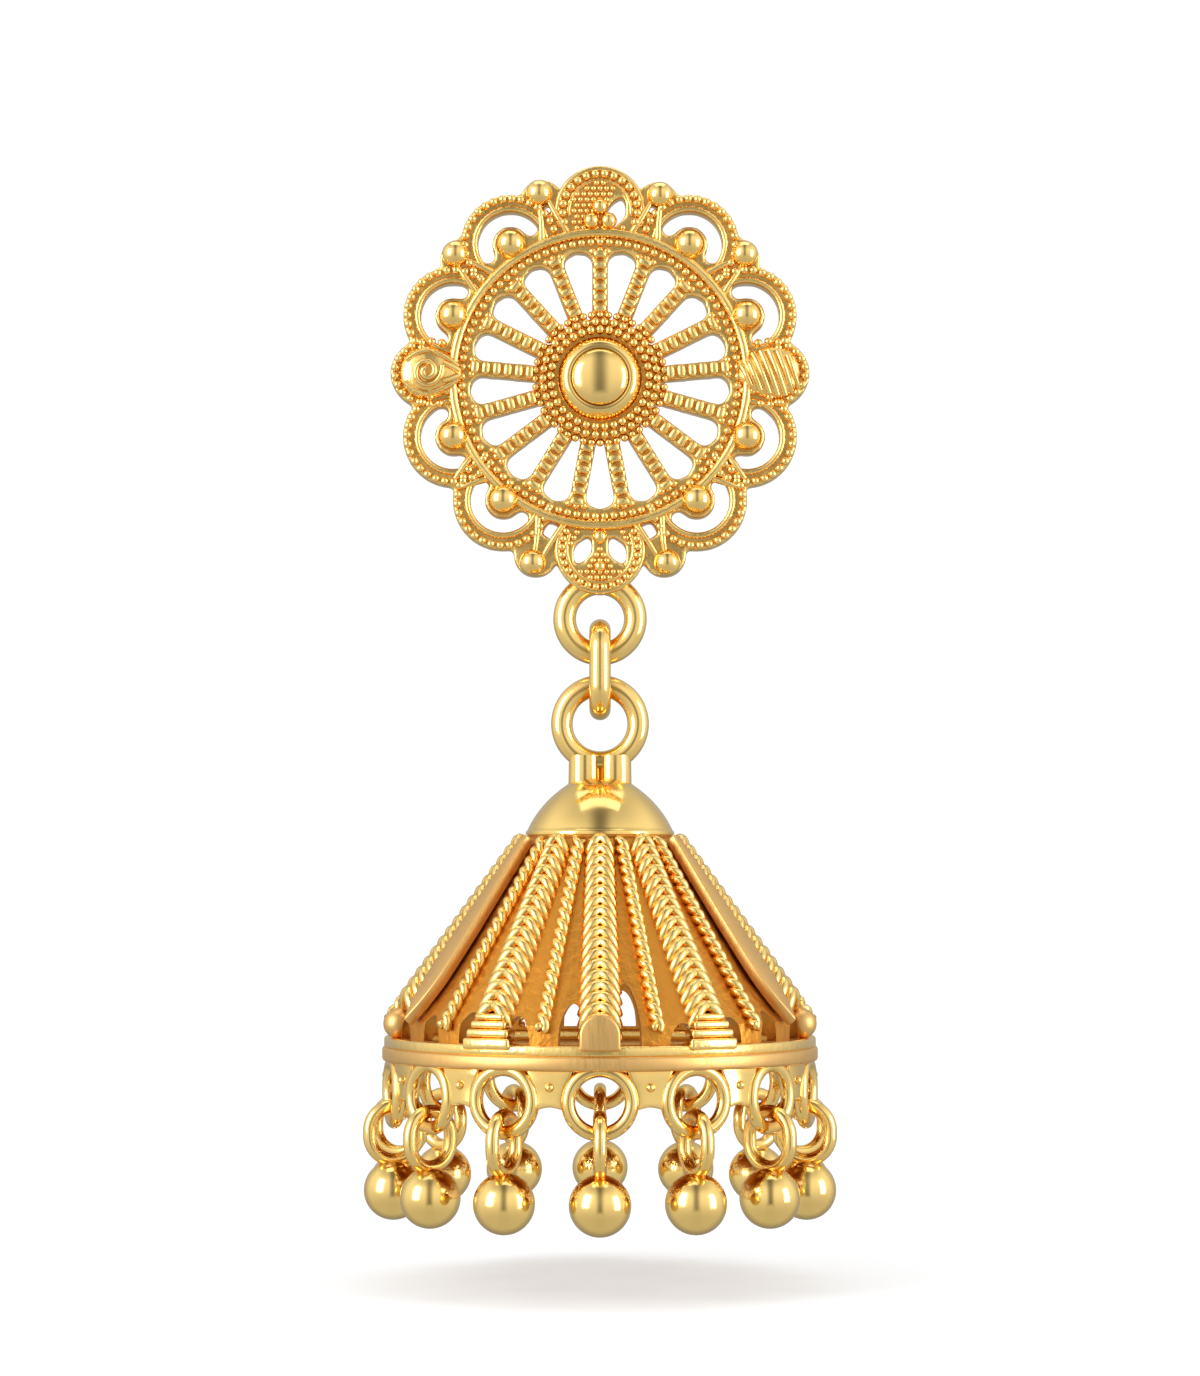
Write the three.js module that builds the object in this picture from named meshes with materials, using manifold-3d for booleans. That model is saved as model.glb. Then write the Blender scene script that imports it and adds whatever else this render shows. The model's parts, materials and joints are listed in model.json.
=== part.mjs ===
// A jhumka earring: a pierced rosette worn on the ear lobe, an oval link, and a ribbed bell
// with a ring of ball drops. Millimetres, +Z up. The rosette faces -Y and its post runs to +Y.
// The origin is on the post's axis, in the plane of the rosette's back.
import * as THREE from "three";
import { mergeVertices } from "three/addons/utils/BufferGeometryUtils.js";
import Module from "manifold-3d";

// Clearances
const linkClearance = 0.1; // between two wires that hang in each other
const seamGap = 0.1; // between pieces that are fixed to each other
const fuse = 0.12; // how deep one form of a casting sinks into the next

// Rosette
const plateThickness = 0.9;
const reliefHeight = 0.3;
const hubRadius = 2.5;
const spokeCount = 17;
const spokeWidth = 0.65;
const fieldRadius = 5.4; // outer ends of the gaps between the spokes
const bandWidth = 0.9; // ring band round the field
const lobeReach = 2.5; // how far the lobes stand out past the ring band
const rosetteRadius = fieldRadius + bandWidth + lobeReach;
const ridgeWidth = 0.5; // smooth wire that runs round the ring band
const lobeRadius = 2.08;
const lobeBallRadius = 0.63;
const crescentWidth = 0.6; // pierced slot round a lobe's ball
const crescentHalfAngle = 98; // degrees each way from the lobe's outer end
const lobeRimWidth = 0.72; // raised edge of a lobe
const lobeRimHalfAngle = 118;
const reliefInset = 0.06; // the relief's edge stands this far inside the plate's
const valleyBallRadius = 0.56; // small balls between the lobes
const valleyWebRadius = 0.9; // plate behind each of them
const valleyWebInset = 0.34;
const leafWidth = 2.4; // solid side lobes
const leafLength = 3.4;
const leafHeight = 0.6;
const slitWidth = 0.86; // leaf-shaped holes of the top and bottom lobes
const slitLength = 1.52;
const slitOffset = 0.75;
const topSlitTilt = 20;
const bottomSlitTilt = 28;

// Centre stud and post
const studDomeRadius = 1.22;
const studCollarRadius = 1.75;
const studCollarHeight = 0.45;
const studDomeHeight = 0.55;
const edgeBevel = 0.12;
const postDiameter = 0.85;
const postLength = 10.5;

// Loop under the rosette, and the oval link
const rosetteLoopRadius = 1.46; // to the middle of the wire
const rosetteLoopWire = 0.94;
const linkWire = 0.88;
const linkHeight = 4.18; // outside
const linkWidth = 3.05; // outside

// Bell
const bellRingRadius = 1.57; // to the middle of the wire
const bellRingWire = 0.89;
const neckWidth = 2.6;
const neckHeight = 0.55;
const neckFillet = 0.25; // how far the dome's top rises into the neck
const capHeight = 2.1;
const capRadius = 3.05; // at the cap's lower edge
const capWall = 0.5;
const skirtHeight = 8.5;
const skirtTopRadius = 3.2;
const skirtFootRadius = 8.4;
const placeCount = 24; // places for ribs, blades and wires round the skirt
const ribTopWidth = 1.15;
const ribFootWidth = 1.6;
const ribFlatness = 0.66; // thickness over width
const wireRibWidth = 0.66;
const bladeWidth = 1.3;
const bladeTopWidth = 0.5;
const bladeThickness = 0.45;
const ribStart = 0.3; // from the skirt's top edge down to where the ribs' middles begin
const skirtWall = 0.45;
const archHeight = 2.3; // tallest of the arched holes at the skirt's foot
const archWidth = 0.95;
const baseRingHeight = 0.3; // ledge that the ribs' feet stand on
const baseRingWidth = 0.85;
const footHeight = 1.15;
const footLap = 0.35; // how far a foot runs up over its rib
const footWidth = 1.7;
const footThickness = 0.68;
const footBallRadius = 0.6;

// Rim, eyelets and drops
const rimOverhang = 0.5; // how far the rim stands out past the ends of the ribs
const rimRadius = skirtFootRadius + rimOverhang;
const rimWidth = 0.75;
const rimHeight = 0.58;
const dropCount = 14;
const eyeletRadius = 1.5;
const eyeletHoleRadius = 0.95;
const eyeletThickness = 0.5;
const eyeletDrop = 1.17; // from the rim's underside down to the hole's centre
const webWidth = 1.5; // web between two eyelets
const webHeight = 0.75;
const dropLoopRadius = 0.98; // to the middle of the wire
const dropLoopWire = 0.56;
const dropLoopStretch = 0.22; // straight part of the loop's sides
const ballRadius = 1.2;

// Facets
const wireSides = 6;
const wireSteps = 14;
const smallWireSteps = 10;
const smallWireSides = 5;
const ballSides = 10;
const ballRings = 6;
const beadSides = 10;
const beadRings = 5;
const rodSides = 6;
const studSides = 18;
const roundSides = 28;
const domeSteps = 4;
const arcSteps = 3; // an arc has twice as many chords
const bendSteps = 2;

const degree = Math.PI / 180;
const wasm = await Module();
wasm.setup();

const metals = {
  polished: new THREE.MeshStandardMaterial({ color: 0xe0b161, roughness: 0.18, metalness: 1 }),
  cast: new THREE.MeshStandardMaterial({ color: 0xd29a45, roughness: 0.34, metalness: 1 }),
  satin: new THREE.MeshStandardMaterial({ color: 0xd8ac68, roughness: 0.42, metalness: 1 }),
};

// A closed geometry as a solid. Faces that shrink to nothing where a profile meets its axis go.
function solid(geometry) {
  const bare = geometry.clone();
  bare.deleteAttribute("normal");
  bare.deleteAttribute("uv");
  const merged = mergeVertices(bare, 1e-5);
  const index = merged.index.array;
  const kept = [];
  for (let i = 0; i < index.length; i += 3) {
    const [a, b, c] = [index[i], index[i + 1], index[i + 2]];
    if (a !== b && b !== c && c !== a) kept.push(a, b, c);
  }
  const mesh = new wasm.Mesh({
    numProp: 3,
    vertProperties: merged.attributes.position.array,
    triVerts: new Uint32Array(kept),
  });
  return new wasm.Manifold(mesh);
}

function join(solids) {
  return solids.reduce((whole, next) => whole.add(next));
}

function cut(body, solids) {
  return body.subtract(join(solids));
}

function piece(name, body, material) {
  const { vertProperties, triVerts } = body.getMesh();
  const geometry = new THREE.BufferGeometry();
  geometry.setAttribute("position", new THREE.BufferAttribute(vertProperties, 3));
  geometry.setIndex(new THREE.BufferAttribute(triVerts, 1));
  geometry.computeVertexNormals();
  const mesh = new THREE.Mesh(geometry, material);
  mesh.name = name;
  return mesh;
}

// A flat shape drawn in x and z, with its back at y and its front a thickness nearer the viewer.
function slab(shape, thickness, y = 0, curveSegments = arcSteps) {
  const options = { depth: thickness, bevelEnabled: false, curveSegments };
  const geometry = new THREE.ExtrudeGeometry(shape, options);
  return geometry.rotateX(Math.PI / 2).translate(0, y, 0);
}

// A profile of [radius, height] pairs turned about the Y axis, its faces outwards.
function turned(profile, segments = roundSides) {
  const points = profile.map(([radius, height]) => new THREE.Vector2(radius, height));
  if (THREE.ShapeUtils.area(points) < 0) points.reverse();
  points.push(points[0].clone());
  return new THREE.LatheGeometry(points, segments);
}

function turnedUpright(profile, segments = roundSides) {
  return turned(profile, segments).rotateX(Math.PI / 2);
}

// A wire ring in the plane of x and z. Its upper and lower halves are drawn apart by stretch.
function wireLoop(radius, wire, steps, stretch = 0, sides = wireSides) {
  const section = [];
  for (let side = 0; side < sides; side++) {
    const angle = (side * 2 * Math.PI) / sides;
    section.push([radius + (wire / 2) * Math.cos(angle), (wire / 2) * Math.sin(angle)]);
  }
  const geometry = turned(section, steps);
  const position = geometry.attributes.position;
  for (let i = 0; i < position.count; i++) {
    const z = position.getZ(i);
    position.setZ(i, z + (Math.sign(z) * stretch) / 2);
  }
  return geometry;
}

function ball(radius, sides = ballSides, rings = ballRings) {
  return new THREE.SphereGeometry(radius, sides, rings).rotateX(Math.PI / 2);
}

const bottomReach = 1.012;

// The twelve lobes: angle, how far they reach as a share of the rosette's radius, their size as
// a share of a lobe's radius, and what is pierced in them.
const lobes = [
  { angle: 0, reach: 1.005, size: 0.89, pierced: "teardrop" },
  { angle: 33.4, reach: 1, size: 1, pierced: "crescent" },
  { angle: 66.5, reach: 0.987, size: 1, pierced: "crescent" },
  { angle: 88, reach: 0.985, size: 1, pierced: "leaf" },
  { angle: 111.5, reach: 0.976, size: 1, pierced: "crescent" },
  { angle: 141.5, reach: 0.965, size: 1, pierced: "crescent" },
  { angle: 180, reach: bottomReach, size: 0.89, pierced: "pair" },
  { angle: -141.5, reach: 0.965, size: 1, pierced: "crescent" },
  { angle: -111.5, reach: 0.976, size: 1, pierced: "crescent" },
  { angle: -88, reach: 0.985, size: 1, pierced: "leaf" },
  { angle: -66.5, reach: 0.987, size: 1, pierced: "crescent" },
  { angle: -33.4, reach: 1, size: 1, pierced: "crescent" },
];

// Small balls between lobes: angle, and distance as a share of the rosette's radius.
const valleyBalls = [
  { angle: -18, reach: 0.925 },
  { angle: 18, reach: 0.915 },
  { angle: 49, reach: 0.9 },
  { angle: -49, reach: 0.9 },
  { angle: 160, reach: 0.92 },
  { angle: -160, reach: 0.92 },
];

function lobeCentre(lobe) {
  return lobe.reach * rosetteRadius - lobe.size * lobeRadius;
}

// A ring sector about its own centre, open towards the middle of the rosette.
function sector(inner, outer, halfAngle) {
  const shape = new THREE.Shape();
  const [from, to] = [Math.PI / 2 - halfAngle, Math.PI / 2 + halfAngle];
  shape.absarc(0, 0, outer, from, to, false);
  shape.absarc(0, 0, inner, to, from, true);
  return shape;
}

// A leaf with a point at each end, along z.
function leafShape(width, length) {
  const shape = new THREE.Shape();
  shape.moveTo(0, -length / 2);
  shape.quadraticCurveTo(width, 0, 0, length / 2);
  shape.quadraticCurveTo(-width, 0, 0, -length / 2);
  return shape;
}

function placedOnRosette(geometry, radius, angle) {
  return geometry.translate(0, 0, radius).rotateY(angle * degree);
}

// The long gap between two spokes: straight sides beside the spokes and a round outer end.
function spokeGap() {
  const half = Math.PI / spokeCount;
  const endCentre = (fieldRadius + spokeWidth / 2) / (1 + Math.sin(half));
  const endRadius = fieldRadius - endCentre;
  const innerHalf = hubRadius * Math.tan(half) - spokeWidth / 2 / Math.cos(half);
  const shape = new THREE.Shape();
  shape.moveTo(innerHalf, hubRadius);
  shape.absarc(0, endCentre, endRadius, -half, Math.PI + half, false);
  shape.lineTo(-innerHalf, hubRadius);
  return shape;
}

function rosettePlate() {
  const parts = [];
  const disc = new THREE.Shape();
  disc.absarc(0, 0, fieldRadius + bandWidth, 0, 2 * Math.PI, false);
  parts.push(solid(slab(disc, plateThickness, 0, roundSides / 2)));
  for (const lobe of lobes) {
    const round = new THREE.Shape();
    if (lobe.pierced === "leaf") {
      round.absellipse(0, 0, leafWidth / 2, leafLength / 2, 0, 2 * Math.PI, false, 0);
      const centre = lobe.reach * rosetteRadius - leafLength / 2;
      parts.push(solid(placedOnRosette(slab(round, plateThickness), centre, lobe.angle)));
      continue;
    }
    round.absarc(0, 0, lobe.size * lobeRadius, 0, 2 * Math.PI, false);
    const blank = slab(round, plateThickness, 0, 2 * arcSteps);
    parts.push(solid(placedOnRosette(blank, lobeCentre(lobe), lobe.angle)));
  }
  for (const { angle, reach } of valleyBalls) {
    const web = new THREE.Shape();
    web.absarc(0, 0, valleyWebRadius, 0, 2 * Math.PI, false);
    const radius = reach * rosetteRadius - valleyWebInset;
    const backing = slab(web, plateThickness);
    parts.push(solid(placedOnRosette(backing, radius, angle)));
  }
  return join(parts);
}

function rosettePiercings() {
  const holes = [];
  const through = plateThickness + 2 * fuse;
  for (let i = 0; i < spokeCount; i++) {
    const angle = ((i + 0.5) * 360) / spokeCount;
    holes.push(solid(placedOnRosette(slab(spokeGap(), through, fuse), 0, angle)));
  }
  const slotInner = lobeRadius - lobeRimWidth - crescentWidth;
  for (const lobe of lobes) {
    const centre = lobeCentre(lobe);
    const drill = (shape, tilt = 0, x = 0) => {
      const geometry = slab(shape, through, fuse).rotateY(tilt * degree).translate(x, 0, 0);
      holes.push(solid(placedOnRosette(geometry, centre, lobe.angle)));
    };
    const slit = leafShape(slitWidth, slitLength);
    if (lobe.pierced === "crescent") {
      drill(sector(slotInner, slotInner + crescentWidth, crescentHalfAngle * degree));
    } else if (lobe.pierced === "teardrop") {
      drill(slit, topSlitTilt, slitOffset);
    } else if (lobe.pierced === "pair") {
      drill(slit, bottomSlitTilt, slitOffset);
      drill(slit, -bottomSlitTilt, -slitOffset);
    }
  }
  return holes;
}

// What stands proud of the plate's front: spokes, ring wire, lobe edges, balls and side leaves.
function rosetteRelief() {
  const parts = [];
  const front = -plateThickness;
  const proud = reliefHeight + fuse;
  const boss = new THREE.Shape();
  boss.absarc(0, 0, hubRadius, 0, 2 * Math.PI, false);
  const collarSeat = new THREE.Path();
  collarSeat.absarc(0, 0, studCollarRadius + seamGap, 0, 2 * Math.PI, true);
  boss.holes.push(collarSeat);
  parts.push(solid(slab(boss, proud, front + fuse, beadSides)));
  const spoke = new THREE.Shape();
  const bar = spokeWidth / 2 - reliefInset;
  const barInner = hubRadius - 2 * fuse;
  const barOuter = fieldRadius + fuse;
  spoke.moveTo(-bar, barInner).lineTo(bar, barInner).lineTo(bar, barOuter).lineTo(-bar, barOuter);
  for (let i = 0; i < spokeCount; i++) {
    const geometry = slab(spoke, proud, front + fuse);
    parts.push(solid(placedOnRosette(geometry, 0, (i * 360) / spokeCount)));
  }
  const ridge = [];
  const ridgeRadius = fieldRadius + bandWidth - ridgeWidth / 2;
  for (let side = 0; side < wireSides; side++) {
    const angle = (side * 360 * degree) / wireSides;
    const across = (ridgeWidth / 2) * Math.cos(angle);
    const out = (ridgeWidth / 2) * Math.sin(angle);
    ridge.push([ridgeRadius + across, front - reliefHeight / 3 + out]);
  }
  parts.push(solid(turned(ridge)));
  for (const lobe of lobes) {
    if (lobe.pierced === "leaf") {
      const leaf = ball(0.5, ballSides, beadRings);
      const across = leafWidth - 2 * reliefInset;
      leaf.scale(across, 2 * leafHeight, leafLength - 2 * reliefInset).translate(0, front, 0);
      const centre = lobe.reach * rosetteRadius - leafLength / 2;
      parts.push(solid(placedOnRosette(leaf, centre, lobe.angle)));
      continue;
    }
    const outer = lobe.size * lobeRadius - reliefInset;
    const edge = sector(outer - lobeRimWidth, outer, lobeRimHalfAngle * degree);
    const rim = slab(edge, proud, front + fuse);
    parts.push(solid(placedOnRosette(rim, lobeCentre(lobe), lobe.angle)));
    if (lobe.pierced === "crescent") {
      const bead = ball(lobeBallRadius, beadSides, beadRings).translate(0, front, 0);
      parts.push(solid(placedOnRosette(bead, lobeCentre(lobe), lobe.angle)));
    }
  }
  for (const { angle, reach } of valleyBalls) {
    const bead = ball(valleyBallRadius, beadSides, beadRings).translate(0, front, 0);
    parts.push(solid(placedOnRosette(bead, reach * rosetteRadius, angle)));
  }
  return parts;
}

// The loop's wire overlaps the bottom lobe, and its hole begins where the lobe ends.
const loopCentreZ = -(bottomReach * rosetteRadius + rosetteLoopRadius - rosetteLoopWire / 2);
const loopY = -plateThickness / 2;

function rosette() {
  const postHole = new THREE.CylinderGeometry(
    postDiameter / 2 + seamGap,
    postDiameter / 2 + seamGap,
    4 * plateThickness,
    ballSides,
  );
  const hanger = wireLoop(rosetteLoopRadius, rosetteLoopWire, wireSteps);
  const shift = [0, loopY, loopCentreZ];
  const whole = join([
    cut(rosettePlate(), rosettePiercings()),
    ...rosetteRelief(),
    solid(hanger.translate(...shift)),
  ]);
  return piece("rosette", cut(whole, [solid(postHole)]), metals.cast);
}

// One turned piece: a polished dome in its collar, with the plain post behind it.
function centreStud() {
  const seat = -plateThickness - seamGap;
  const rimY = seat - studCollarHeight;
  const profile = [[0, postLength]];
  const post = postDiameter / 2;
  profile.push([post - edgeBevel, postLength], [post, postLength - edgeBevel], [post, seat]);
  profile.push([studCollarRadius, seat], [studCollarRadius, rimY + edgeBevel]);
  profile.push([studCollarRadius - edgeBevel, rimY], [studDomeRadius + edgeBevel, rimY]);
  for (let step = 0; step <= domeSteps; step++) {
    const angle = (step * Math.PI) / 2 / domeSteps;
    const rise = studDomeHeight * Math.sin(angle);
    profile.push([studDomeRadius * Math.cos(angle), rimY + edgeBevel - rise]);
  }
  return piece("centre_stud", solid(turned(profile, studSides)), metals.polished);
}

// Heights down the hanging chain, each worked out from the piece above it.
const linkPivotZ = loopCentreZ - rosetteLoopRadius;
const linkTopZ = (rosetteLoopWire + linkWire) / 2 + linkClearance;
const linkBottomZ = linkTopZ - (linkHeight - linkWire);

function dropLink() {
  const meanRadius = (linkWidth - linkWire) / 2;
  const stretch = linkHeight - linkWidth;
  const loop = wireLoop(meanRadius, linkWire, wireSteps, stretch).rotateZ(Math.PI / 2);
  loop.translate(0, 0, (linkTopZ + linkBottomZ) / 2);
  return piece("drop_link", solid(loop), metals.polished);
}

const ringTopZ = (linkWire + bellRingWire) / 2 + linkClearance;
const ringCentreZ = ringTopZ - bellRingRadius;
const neckTopZ = ringCentreZ - bellRingRadius - bellRingWire / 2 + 4 * fuse;
const capTopZ = neckTopZ - 4 * fuse - neckHeight + seamGap;
const capEdgeZ = capTopZ - capHeight;
const skirtTopZ = capEdgeZ - seamGap;
const rimTopZ = skirtTopZ - skirtHeight;
const baseTopZ = rimTopZ + seamGap + baseRingHeight;
const ribEndZ = rimTopZ + footHeight;
const rimBottomZ = rimTopZ - rimHeight;
const eyeletZ = rimBottomZ - eyeletDrop;
const eyeletCircle = rimRadius - rimWidth / 2;

// The sphere that passes through the neck's edge and the cap's lower edge.
const capSphereDrop =
  (capHeight * capHeight + capRadius * capRadius - (neckWidth / 2) ** 2) / (2 * capHeight);
const capSphereRadius = Math.hypot(neckWidth / 2, capSphereDrop);

function bellCap() {
  const centreZ = capTopZ - capSphereDrop;
  const arc = (radius, from, to, steps) => {
    const points = [];
    for (let step = 0; step <= steps; step++) {
      const angle = from + ((to - from) * step) / steps;
      points.push([radius * Math.cos(angle), centreZ + radius * Math.sin(angle)]);
    }
    return points;
  };
  const edgeAngle = Math.asin((capEdgeZ - centreZ) / capSphereRadius);
  const neckAngle = Math.acos(neckWidth / 2 / capSphereRadius);
  const innerRadius = capSphereRadius - capWall;
  const innerAngle = Math.asin((capEdgeZ - centreZ) / innerRadius);
  const profile = [
    ...arc(capSphereRadius, edgeAngle, neckAngle, domeSteps),
    [0, capTopZ + neckFillet],
    ...arc(innerRadius, Math.PI / 2, innerAngle, domeSteps - 1),
  ];
  const dome = turnedUpright(profile, roundSides);
  const neckLength = neckTopZ - capTopZ + 2 * fuse;
  const legs = [-1, 1].map((side) => {
    const leg = taperedRod(neckWidth / 2 + fuse, neckWidth / 2 + fuse, 1, neckLength);
    return solid(leg.translate((side * (neckWidth / 2 - fuse)) / 2, 0, neckTopZ));
  });
  const ring = wireLoop(bellRingRadius, bellRingWire, wireSteps).translate(0, 0, ringCentreZ);
  return piece("bell_cap", join([solid(dome), ...legs, solid(ring)]), metals.polished);
}

// The skirt's ribs lie on a cone, and place 0 faces the viewer.
const ribDrop = skirtTopZ - ribStart - ribEndZ;
const ribLean = Math.atan2(skirtFootRadius - skirtTopRadius, ribDrop);
const ribLength = Math.hypot(skirtFootRadius - skirtTopRadius, ribDrop);

function onSkirt(geometry, place) {
  geometry.rotateX(-ribLean).translate(0, -skirtTopRadius, skirtTopZ - ribStart);
  return geometry.rotateZ((place * 2 * Math.PI) / placeCount);
}

function taperedRod(topWidth, endWidth, flatness, length, sides = rodSides) {
  const rod = new THREE.CylinderGeometry(topWidth / 2, endWidth / 2, length, sides);
  return rod.rotateX(Math.PI / 2).scale(1, flatness, 1).translate(0, 0, -length / 2);
}

function blade() {
  const shape = new THREE.Shape();
  const half = bladeWidth / 2;
  const widest = -0.68 * ribLength;
  shape.moveTo(bladeTopWidth / 2, 0);
  shape.lineTo(-bladeTopWidth / 2, 0);
  shape.quadraticCurveTo(-half, 0.5 * widest, -half, widest);
  shape.quadraticCurveTo(-half, 0.9 * -ribLength, 0, -ribLength);
  shape.quadraticCurveTo(half, 0.9 * -ribLength, half, widest);
  shape.quadraticCurveTo(half, 0.5 * widest, bladeTopWidth / 2, 0);
  return slab(shape, bladeThickness, bladeThickness / 2, bendSteps);
}

// What stands at each place, counted both ways from the front: the rib, and its foot.
const places = [
  { rib: "rope", foot: "bullet" },
  { rib: "wire" },
  { rib: "rope", foot: "stepped" },
  { rib: "wire" },
  { rib: "blade" },
  { rib: "rope", foot: "ball" },
  { rib: "wire" },
  { rib: "rope", foot: "ball" },
  { rib: "blade" },
  { rib: "wire" },
  { rib: "rope", foot: "stepped" },
  { rib: "wire" },
  { rib: "rope", foot: "bullet" },
];

// Half outlines of the flat feet, as shares of their half width and of their height.
const footOutlines = {
  bullet: [[1, 0], [1, 0.42], [0.93, 0.66], [0.72, 0.86], [0.34, 1]],
  stepped: [[1.15, 0], [1.15, 0.34], [0.95, 0.34], [0.95, 0.66], [0.75, 0.66], [0.75, 1]],
};

function foot(kind) {
  const base = baseTopZ - fuse;
  const rise = ribEndZ + footLap - base;
  if (kind === "ball") {
    const bead = ball(footBallRadius, beadSides, beadRings);
    return bead.translate(0, 0, base + footBallRadius);
  }
  const half = footOutlines[kind];
  const outline = [...half, ...half.toReversed().map(([across, up]) => [-across, up])];
  const points = outline.map(([across, up]) => {
    return new THREE.Vector2((across * footWidth) / 2, base + up * rise);
  });
  return slab(new THREE.Shape(points), footThickness, footThickness / 2);
}

// Heights of the arched holes, as shares of the tallest. The row is gone through four times.
const archShares = [1, 0.34, 0.42, 0.5, 0.45, 0.66];

function arches() {
  const holes = [];
  for (let i = 0; i < placeCount; i++) {
    const height = archShares[i % archShares.length] * archHeight;
    const half = archWidth / 2;
    const shape = new THREE.Shape();
    shape.moveTo(half, 0);
    shape.quadraticCurveTo(half, height, 0, height);
    shape.quadraticCurveTo(-half, height, -half, 0);
    const hole = slab(shape, 6 * skirtWall, 3 * skirtWall, bendSteps);
    hole.translate(0, -skirtFootRadius, baseTopZ + fuse);
    holes.push(solid(hole.rotateZ(((i + 0.5) * 2 * Math.PI) / placeCount)));
  }
  return holes;
}

function bellSkirt() {
  const parts = [];
  const across = skirtWall / Math.cos(ribLean);
  const topRadius = skirtTopRadius - ribStart * Math.tan(ribLean);
  const baseBottom = rimTopZ + seamGap;
  const baseInner = skirtFootRadius - baseRingWidth / 2;
  const baseOuter = skirtFootRadius + baseRingWidth / 2;
  const wall = [
    [topRadius, skirtTopZ],
    [skirtFootRadius, ribEndZ],
    [skirtFootRadius, baseTopZ],
    [baseOuter, baseTopZ],
    [baseOuter, baseBottom],
    [baseInner, baseBottom],
    [skirtFootRadius - across, ribEndZ],
    [topRadius - across, skirtTopZ],
  ];
  parts.push(cut(solid(turnedUpright(wall)), arches()));
  const ribs = {
    rope: () => taperedRod(ribTopWidth, ribFootWidth, ribFlatness, ribLength + fuse),
    wire: () => taperedRod(wireRibWidth, wireRibWidth, 1, ribLength + footLap, wireSides),
    blade,
  };
  for (let i = 0; i < placeCount; i++) {
    const place = places[Math.min(i, placeCount - i)];
    parts.push(solid(onSkirt(ribs[place.rib](), i)));
    if (place.foot) {
      const turn = (i * 2 * Math.PI) / placeCount;
      parts.push(solid(foot(place.foot).translate(0, -skirtFootRadius, 0).rotateZ(turn)));
    }
  }
  return piece("bell_skirt", join(parts), metals.cast);
}

function bellRim() {
  const band = [
    [rimRadius - rimWidth, rimBottomZ],
    [rimRadius - edgeBevel, rimBottomZ],
    [rimRadius, rimBottomZ + edgeBevel],
    [rimRadius, rimTopZ - edgeBevel],
    [rimRadius - edgeBevel, rimTopZ],
    [rimRadius - rimWidth, rimTopZ],
  ];
  const parts = [solid(turnedUpright(band))];
  const eyelet = new THREE.Shape();
  eyelet.absarc(0, 0, eyeletRadius, 0, 2 * Math.PI, false);
  const hole = new THREE.Path();
  hole.absarc(0, 0, eyeletHoleRadius, 0, 2 * Math.PI, true);
  eyelet.holes.push(hole);
  for (let i = 0; i < dropCount; i++) {
    const turn = (i * 2 * Math.PI) / dropCount;
    const plate = slab(eyelet, eyeletThickness, eyeletThickness / 2, beadSides / 2);
    parts.push(solid(plate.translate(0, -eyeletCircle, eyeletZ).rotateZ(turn)));
    const web = new THREE.BoxGeometry(webWidth, eyeletThickness, webHeight + fuse);
    web.translate(0, -eyeletCircle, rimBottomZ + (fuse - webHeight) / 2);
    parts.push(solid(web.rotateZ(turn + Math.PI / dropCount)));
  }
  return piece("bell_rim", join(parts), metals.satin);
}

// A ball soldered to its loop. Its origin is the middle of the wire at the top of the loop.
function dropSolid() {
  const loopBottom = -2 * dropLoopRadius - dropLoopStretch;
  const sides = smallWireSides;
  const loop = wireLoop(dropLoopRadius, dropLoopWire, smallWireSteps, dropLoopStretch, sides);
  loop.rotateZ(Math.PI / 2).translate(0, 0, loopBottom / 2);
  const bead = ball(ballRadius).translate(0, 0, loopBottom - ballRadius);
  return join([solid(loop), solid(bead)]);
}

function drops() {
  const group = new THREE.Group();
  const body = dropSolid();
  const restZ = eyeletZ - eyeletHoleRadius + dropLoopWire / 2 + linkClearance;
  for (let i = 0; i < dropCount; i++) {
    const turn = (i * 2 * Math.PI) / dropCount;
    const name = "drop_" + String(i + 1).padStart(2, "0");
    const drop = piece(name, body, metals.polished);
    drop.position.set(eyeletCircle * Math.sin(turn), -eyeletCircle * Math.cos(turn), restZ);
    drop.rotation.z = turn;
    group.add(drop);
  }
  return group;
}

const earring = new THREE.Group();
earring.add(rosette(), centreStud());

const link = new THREE.Group();
link.position.set(0, loopY, linkPivotZ);
link.add(dropLink());
earring.add(link);

const bell = new THREE.Group();
bell.position.set(0, 0, linkBottomZ);
bell.add(bellCap(), bellSkirt(), bellRim(), drops());
link.add(bell);

export default earring;
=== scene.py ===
"""A gold-plated jhumka earring: the finished metalwork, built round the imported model's frame."""

import json
import math

import bmesh
import bpy
from bpy.props import FloatProperty, FloatVectorProperty, IntProperty, PointerProperty
from mathutils import Matrix, Vector


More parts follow.
